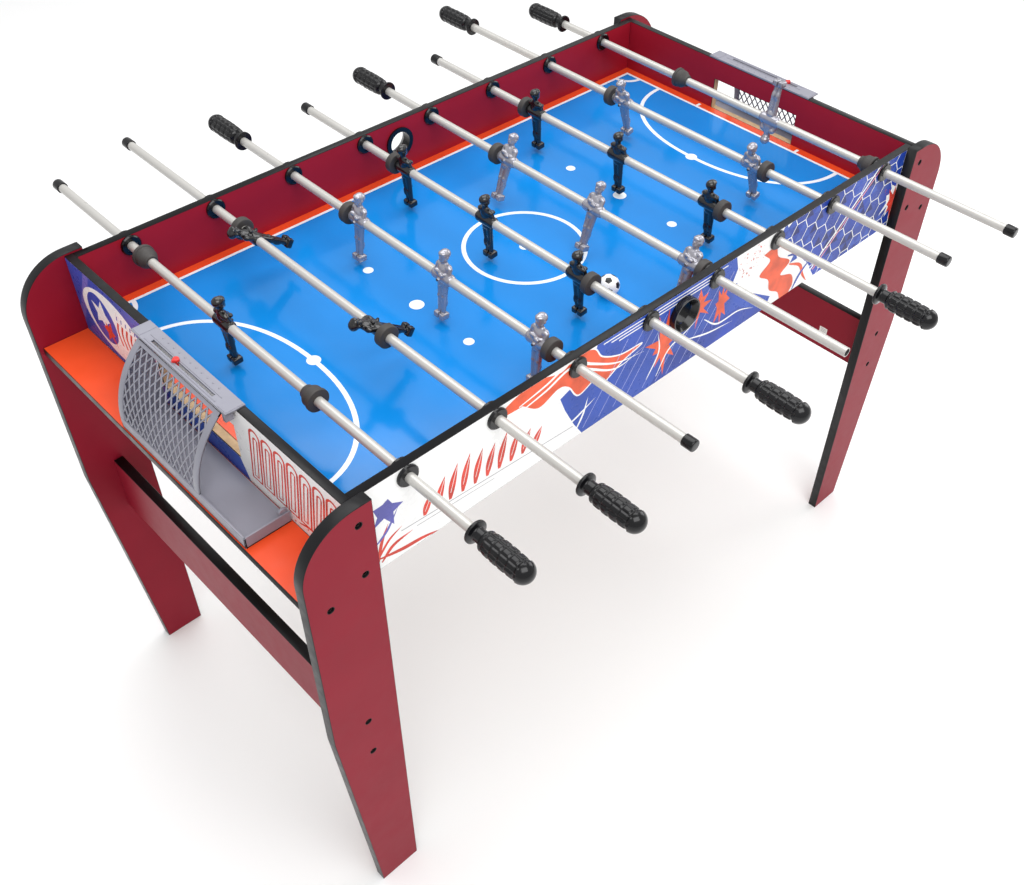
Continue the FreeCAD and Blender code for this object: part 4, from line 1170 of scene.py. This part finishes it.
def speckles(sheet, ink, centre, reach, count, seed, size=0.0016):
    rng = random.Random(seed)
    for _ in range(count):
        angle, far = rng.uniform(0, 2 * math.pi), reach * math.sqrt(rng.random())
        place = (centre[0] + far * math.cos(angle), centre[1] + far * math.sin(angle) * 0.8)
        sheet.shape(ink, splash(place, size * rng.uniform(0.4, 1.3), rng.random(), 4))


def mm(points):
    return [(x * MM, z * MM) for x, z in points]


def inside(point, outline):
    """True if a point lies inside a closed outline."""
    hit = False
    for k, (ax, ay) in enumerate(outline):
        bx, by = outline[k - 1]
        if (ay > point[1]) != (by > point[1]) and point[0] < (bx - ax) * (point[1] - ay) / (by - ay) + ax:
            hit = not hit
    return hit


HEX_RADIUS = 0.019
HEX_ZONE = mm([(206, 778), (232, 796), (520, 796), (520, 650), (322, 650), (290, 694), (244, 736)])


def hexagon_field(sheet):
    """Blue facets under a white net of hexagons."""
    rng = random.Random(7)
    sheet.shape("deep_blue_print", HEX_ZONE)
    cells = []
    for column in range(12):
        for row in range(6):
            x = 0.222 + column * HEX_RADIUS * 1.5
            z = 0.650 + (row + (column % 2) / 2) * HEX_RADIUS * math.sqrt(3)
            if inside((x, z), HEX_ZONE):
                cells.append([(x + HEX_RADIUS * math.cos(math.radians(60 * k)),
                               z + HEX_RADIUS * math.sin(math.radians(60 * k))) for k in range(6)]
                             + [(x, z)])
    for cell in cells:
        for k in range(0, 6, 2):
            if rng.random() < 0.55:
                ink = rng.choice(("blue_print", "night_print"))
                sheet.shape(ink, [cell[6], cell[k], cell[(k + 1) % 6]])
    for cell in cells:
        sheet.stroke("white_print", cell[:6], 0.0017, closed=True)
    for start, end, ink, width in (((445, 796), (300, 672), "white_print", 3.4),
                                   ((455, 796), (310, 672), "pink_print", 2.6)):
        sheet.stroke(ink, mm([start, end]), width * MM)
    sheet.shape("white_print", splash((0.508, 0.712), 0.034, 21, 9, 1.3))
    sheet.shape("red_print", splash((0.510, 0.706), 0.022, 22, 8, 1.5))
    speckles(sheet, "red_print", (0.497, 0.735), 0.022, 14, 23)


def side_art(sheet):
    """Print of a side wall: brush strokes, flames, speed lines and a hexagon net."""
    sheet.patch("blue_print", [(-222, 742), (-170, 762), (-160, 796), (112, 796), (122, 762),
                               (114, 734), (206, 676), (196, 652), (-176, 652), (-206, 700)])
    sheet.shape("violet_print", splash((-0.488, 0.744), 0.024, 3, 5))
    sheet.patch("grey_print", [(-470, 698.6), (-470, 697.4), (-196, 680.4), (-196, 681.6)])
    sheet.patch("grey_print", [(-448, 690.2), (-448, 689.2), (-330, 682.0), (-330, 682.8)])
    for points, width in (([(-500, 668), (-482, 684), (-454, 688)], 5.5),
                          ([(-503, 676), (-470, 668), (-440, 664), (-410, 656)], 6.0),
                          ([(-506, 664), (-498, 698), (-486, 724)], 5.0),
                          ([(-508, 672), (-488, 696), (-468, 706)], 4.0)):
        sheet.brush("red_print", points, width * MM)
    sheet.brush("violet_print", [(-506, 700), (-488, 714), (-470, 741)], 0.004)
    for k, height in enumerate((30, 42, 50, 54, 50, 46, 52, 44, 34, 26)):
        x, base = -436 + 19 * k, 698 - 0.7 * k
        sheet.brush("red_print", [(x, base), (x + 5, base + height / 2),
                                  (x + 13, base + height)], 0.0105)
        sheet.stroke("white_print", mm([(x + 1, base + height * 0.2), (x + 12, base + height * 0.9)]), 0.0008)
    flame = smooth_line(mm([(-336, 774), (-300, 790), (-262, 797), (-222, 786), (-196, 797), (-166, 789),
                            (-150, 768), (-116, 752), (-76, 748), (-112, 738), (-146, 722), (-160, 738),
                            (-190, 729), (-208, 752), (-226, 760), (-258, 750), (-286, 770)]))
    sheet.shape("orange_print", flame)
    sheet.stroke("white_print", flame, 0.0022)
    sheet.patch("deep_blue_print", [(-60, 652), (-20, 690), (60, 700), (130, 696), (190, 664),
                                    (180, 652)])
    rng = random.Random(5)
    for k in range(9):
        x = -150 + 27 * k + rng.uniform(-6, 6)
        sheet.stroke("line_print", mm([(x - 30, 664 + rng.uniform(-4, 4)), (x + 44, 770)]), 0.0009)
    for k in range(3):
        z = 787 - 5 * k
        sheet.stroke("white_print", mm([(-150 + 14 * k, z), (88 - 9 * k, z)]), 0.0018)
    for shift in (0, 9):
        sheet.brush("white_print", [(-290, 772 - shift), (-246, 780 - shift), (-205, 791 - shift),
                                    (-170, 768 - shift), (-122, 742 - shift),
                                    (-70, 731 + shift)], 0.0042)
    for points in ([(-208, 688), (-188, 694), (-158, 706)], [(-196, 664), (-180, 690), (-172, 716)],
                   [(-226, 742), (-206, 700), (-180, 652)]):
        sheet.brush("white_print", points, 0.0036)
    sheet.shape("orange_print", splash((-0.032, 0.722), 0.030, 11, 9, 1.6))
    sheet.shape("orange_print", splash((0.036, 0.745), 0.024, 12, 8, 1.2))
    sheet.shape("orange_print", splash((0.086, 0.728), 0.016, 13, 8, 2.2))
    for points in ([(-40, 670), (-20, 704), (12, 716), (40, 728)], [(-60, 676), (-40, 712), (-46, 748)],
                   [(52, 716), (84, 692), (130, 690), (168, 676)], [(20, 700), (66, 686), (120, 678)]):
        sheet.brush("white_print", points, 0.003)
    sheet.patch("white_print", [(104, 796), (112, 770), (104, 748), (126, 742), (122, 728),
                                (150, 722), (176, 700), (206, 676), (246, 652), (326, 652),
                                (292, 694), (246, 736), (206, 778), (236, 796)])
    hexagon_field(sheet)
    blaze = smooth_line(mm([(170, 764), (197, 766), (208, 744), (240, 722), (222, 706), (252, 692),
                            (260, 668), (238, 650), (224, 674), (200, 690), (192, 712), (168, 730),
                            (188, 746), (170, 764)]), 5)
    sheet.shape("orange_print", blaze[:-1])
    speckles(sheet, "red_print", (0.142, 0.768), 0.030, 46, 31)
    for points, ink in (([(232, 734), (262, 724), (286, 706), (296, 686)], "deep_blue_print"),
                        ([(240, 716), (270, 700), (284, 676), (300, 656)], "orange_print"),
                        ([(252, 728), (284, 714), (316, 674)], "orange_print"),
                        ([(262, 660), (276, 682), (300, 700)], "blue_print")):
        sheet.brush(ink, points, 0.0055)


def end_art(sheet):
    """Print of an end wall (u runs from the rear to the front): emblem at one end, bold outlines at the other."""
    sheet.patch("blue_print", [(-300, 650), (-300, 800), (-88, 800), (-92, 650)])
    sheet.patch("blue_print", [(-92, 650), (-92, 706), (86, 706), (98, 676), (100, 650)])
    sheet.stroke("violet_print", mm([(-300, 690), (-236, 800)]), 0.012)
    sheet.shape("white_print", [(-0.196 + 0.078 * math.cos(a), 0.733 + 0.050 * math.sin(a)) for a in
                                (2 * math.pi * k / 48 for k in range(48))])
    sheet.stroke("white_print", mm([(84, 708), (99, 676)]), 0.0032)
    sheet.shape("blue_print", [(-0.226 + 0.036 * math.cos(a), 0.732 + 0.038 * math.sin(a)) for a in
                               (2 * math.pi * k / 36 for k in range(36))])
    sheet.shape("white_print", splash((-0.226, 0.736), 0.024, 41, 5, 1.1))
    sheet.shape("red_print", splash((-0.214, 0.716), 0.020, 42, 6, 1.1))
    for k in range(5):
        x = -182 + 11 * k
        sheet.stroke("red_print", smooth_line(mm([(x, 712), (x - 3, 734), (x + 4, 752)])), 0.0042)
        sheet.stroke("blue_print", smooth_line(mm([(x + 3, 756), (x + 6, 764)])), 0.0022)
    for k in range(4):
        sheet.stroke("night_print", arc_points((-0.098, 0.790), 0.010 + 0.007 * k, 200, 330, 12), 0.0022)
    for k in range(7):
        x = 116 + 24 * k
        lean = 14
        for half_width, width in ((9.5, 3.6), (3.6, 2.6)):
            top, foot = 780 - (9.5 - half_width), 692 + (9.5 - half_width)
            outline = [(x - half_width + lean, top - 8)]
            outline += [(x + lean + half_width * math.cos(a), top - 8 + half_width * math.sin(a))
                        for a in (math.pi * (1 - n / 8) for n in range(9))]
            outline += [(x + half_width, foot), (x - half_width, foot)]
            sheet.stroke("red_print", mm(outline), width * MM, closed=True)
    speckles(sheet, "red_print", (0.200, 0.682), 0.016, 12, 43)
    sheet.brush("red_print", [(196, 684), (226, 692), (262, 680), (292, 690)], 0.004)


EDGE_MARGIN = 0.0009
PORT_WINDOW = 0.0176
for side, axes, outer_y in (("front", (X, Z, -Y), FRONT_LOW.y), ("rear", (-X, Z, Y), REAR_HIGH.y)):
    low_z, high_z = FRONT_LOW.z + EDGE_MARGIN, WALL_TOP - EDGE_MARGIN
    reach = LEG_HIGH.x + 0.0005
    windows = [((reach, low_z), (-PORT_WINDOW, high_z)), ((PORT_WINDOW, low_z), (-reach, high_z)),
               ((-PORT_WINDOW, low_z), (PORT_WINDOW, PORT_Z - PORT_WINDOW)),
               ((-PORT_WINDOW, PORT_Z + PORT_WINDOW), (PORT_WINDOW, high_z))]
    sheet = Print(f"{side}_wall_print", axes, (0, outer_y, 0), windows, "printed_board")
    side_art(sheet)
    sheet.done()
for side, axes, outer_x in (("left", (-Y, Z, -X), END_LOW.x), ("right", (Y, Z, X), -END_LOW.x)):
    reach = -END_LOW.y - EDGE_MARGIN
    low_z, high_z = SHELF_HIGH.z, WALL_TOP - EDGE_MARGIN
    windows = [((-reach, low_z), (-MOUTH_HALF, high_z)), ((MOUTH_HALF, low_z), (reach, high_z)),
               ((-MOUTH_HALF, low_z), (MOUTH_HALF, FIELD_TOP)),
               ((-MOUTH_HALF, FIELD_TOP + MOUTH_HEIGHT), (MOUTH_HALF, high_z))]
    sheet = Print(f"{side}_wall_print", axes, (outer_x, 0, 0), windows, "printed_board")
    end_art(sheet)
    sheet.done()

# plain label on the right stretcher's inner face
label = Print("stretcher_label", (-Y, Z, -X), (-RAIL_HIGH.x, 0, 0), [((-1, 0), (1, 1))], "printed_board")
label.shape("label", mm([(206, 369), (222, 369), (222, 381), (206, 381)]))
for z in (372, 375, 378):
    label.stroke("grey_print", mm([(208.5, z), (219.5, z)]), 0.0011)
label.done()

# ---------------------------------------------------------------- studio
floor_mesh = mesh_from("studio_floor", [(-6, -6, 0), (6, -6, 0), (6, 6, 0), (-6, 6, 0)], [(0, 1, 2, 3)])
floor_material, _, _, floor_shader = node_tree("studio_floor")
floor_shader.inputs["Base Color"].default_value = (0.92, 0.92, 0.92, 1)
floor_shader.inputs["Roughness"].default_value = 0.6
floor = bpy.data.objects.new("studio_floor", floor_mesh)
floor_mesh.materials.append(floor_material)
bpy.context.scene.collection.objects.link(floor)


def area_light(name, place, target, size, power):
    data = bpy.data.lights.new(name, "AREA")
    data.shape = "RECTANGLE"
    data.size, data.size_y = size
    data.energy = power
    item = bpy.data.objects.new(name, data)
    item.location = place
    item.rotation_euler = (Vector(target) - Vector(place)).to_track_quat("-Z", "Y").to_euler()
    bpy.context.scene.collection.objects.link(item)


# name, place, target, size, power
LIGHTS = (("key_softbox", (-0.8, -1.8, 3.2), (0, 0, 0.6), (2.6, 1.8), 62),
          ("top_softbox", (0.6, 0.8, 3.4), (0, 0, 0.7), (3.0, 2.2), 60),
          ("side_softbox", (3.0, -0.6, 1.9), (0, 0, 0.6), (1.6, 1.8), 26))
for light in LIGHTS:
    area_light(*light)

world = bpy.data.worlds.new("studio_world")
bpy.context.scene.world = world
world.use_nodes = True
world.node_tree.nodes["Background"].inputs["Color"].default_value = (1, 1, 1, 1)
world.node_tree.nodes["Background"].inputs["Strength"].default_value = 0.75
bpy.context.scene.view_settings.view_transform = "Standard"

# camera: turned from +Y toward +X, tilted down, rolled slightly clockwise
SENSOR_WIDTH, FOCAL_LENGTH = 36, 39.10
FRAME_SHIFT = (-0.0335, -0.0059)
CAMERA_PLACE = Vector((-0.9364, -0.9725, 1.6451))
CAMERA_YAW, CAMERA_PITCH, CAMERA_ROLL = (math.radians(a) for a in (45.63, -44.46, 1.85))
ahead = Vector((math.sin(CAMERA_YAW) * math.cos(CAMERA_PITCH),
                math.cos(CAMERA_YAW) * math.cos(CAMERA_PITCH), math.sin(CAMERA_PITCH)))
level = Vector((math.cos(CAMERA_YAW), -math.sin(CAMERA_YAW), 0))
upward = level.cross(ahead)
right = level * math.cos(CAMERA_ROLL) + upward * math.sin(CAMERA_ROLL)
upward = upward * math.cos(CAMERA_ROLL) - level * math.sin(CAMERA_ROLL)
camera_data = bpy.data.cameras.new("camera")
camera_data.sensor_width = SENSOR_WIDTH
camera_data.lens = FOCAL_LENGTH
camera_data.shift_x, camera_data.shift_y = FRAME_SHIFT
camera = bpy.data.objects.new("camera", camera_data)
camera.matrix_world = Matrix((right, upward, -ahead)).transposed().to_4x4()
camera.location = CAMERA_PLACE
bpy.context.scene.collection.objects.link(camera)
bpy.context.scene.camera = camera
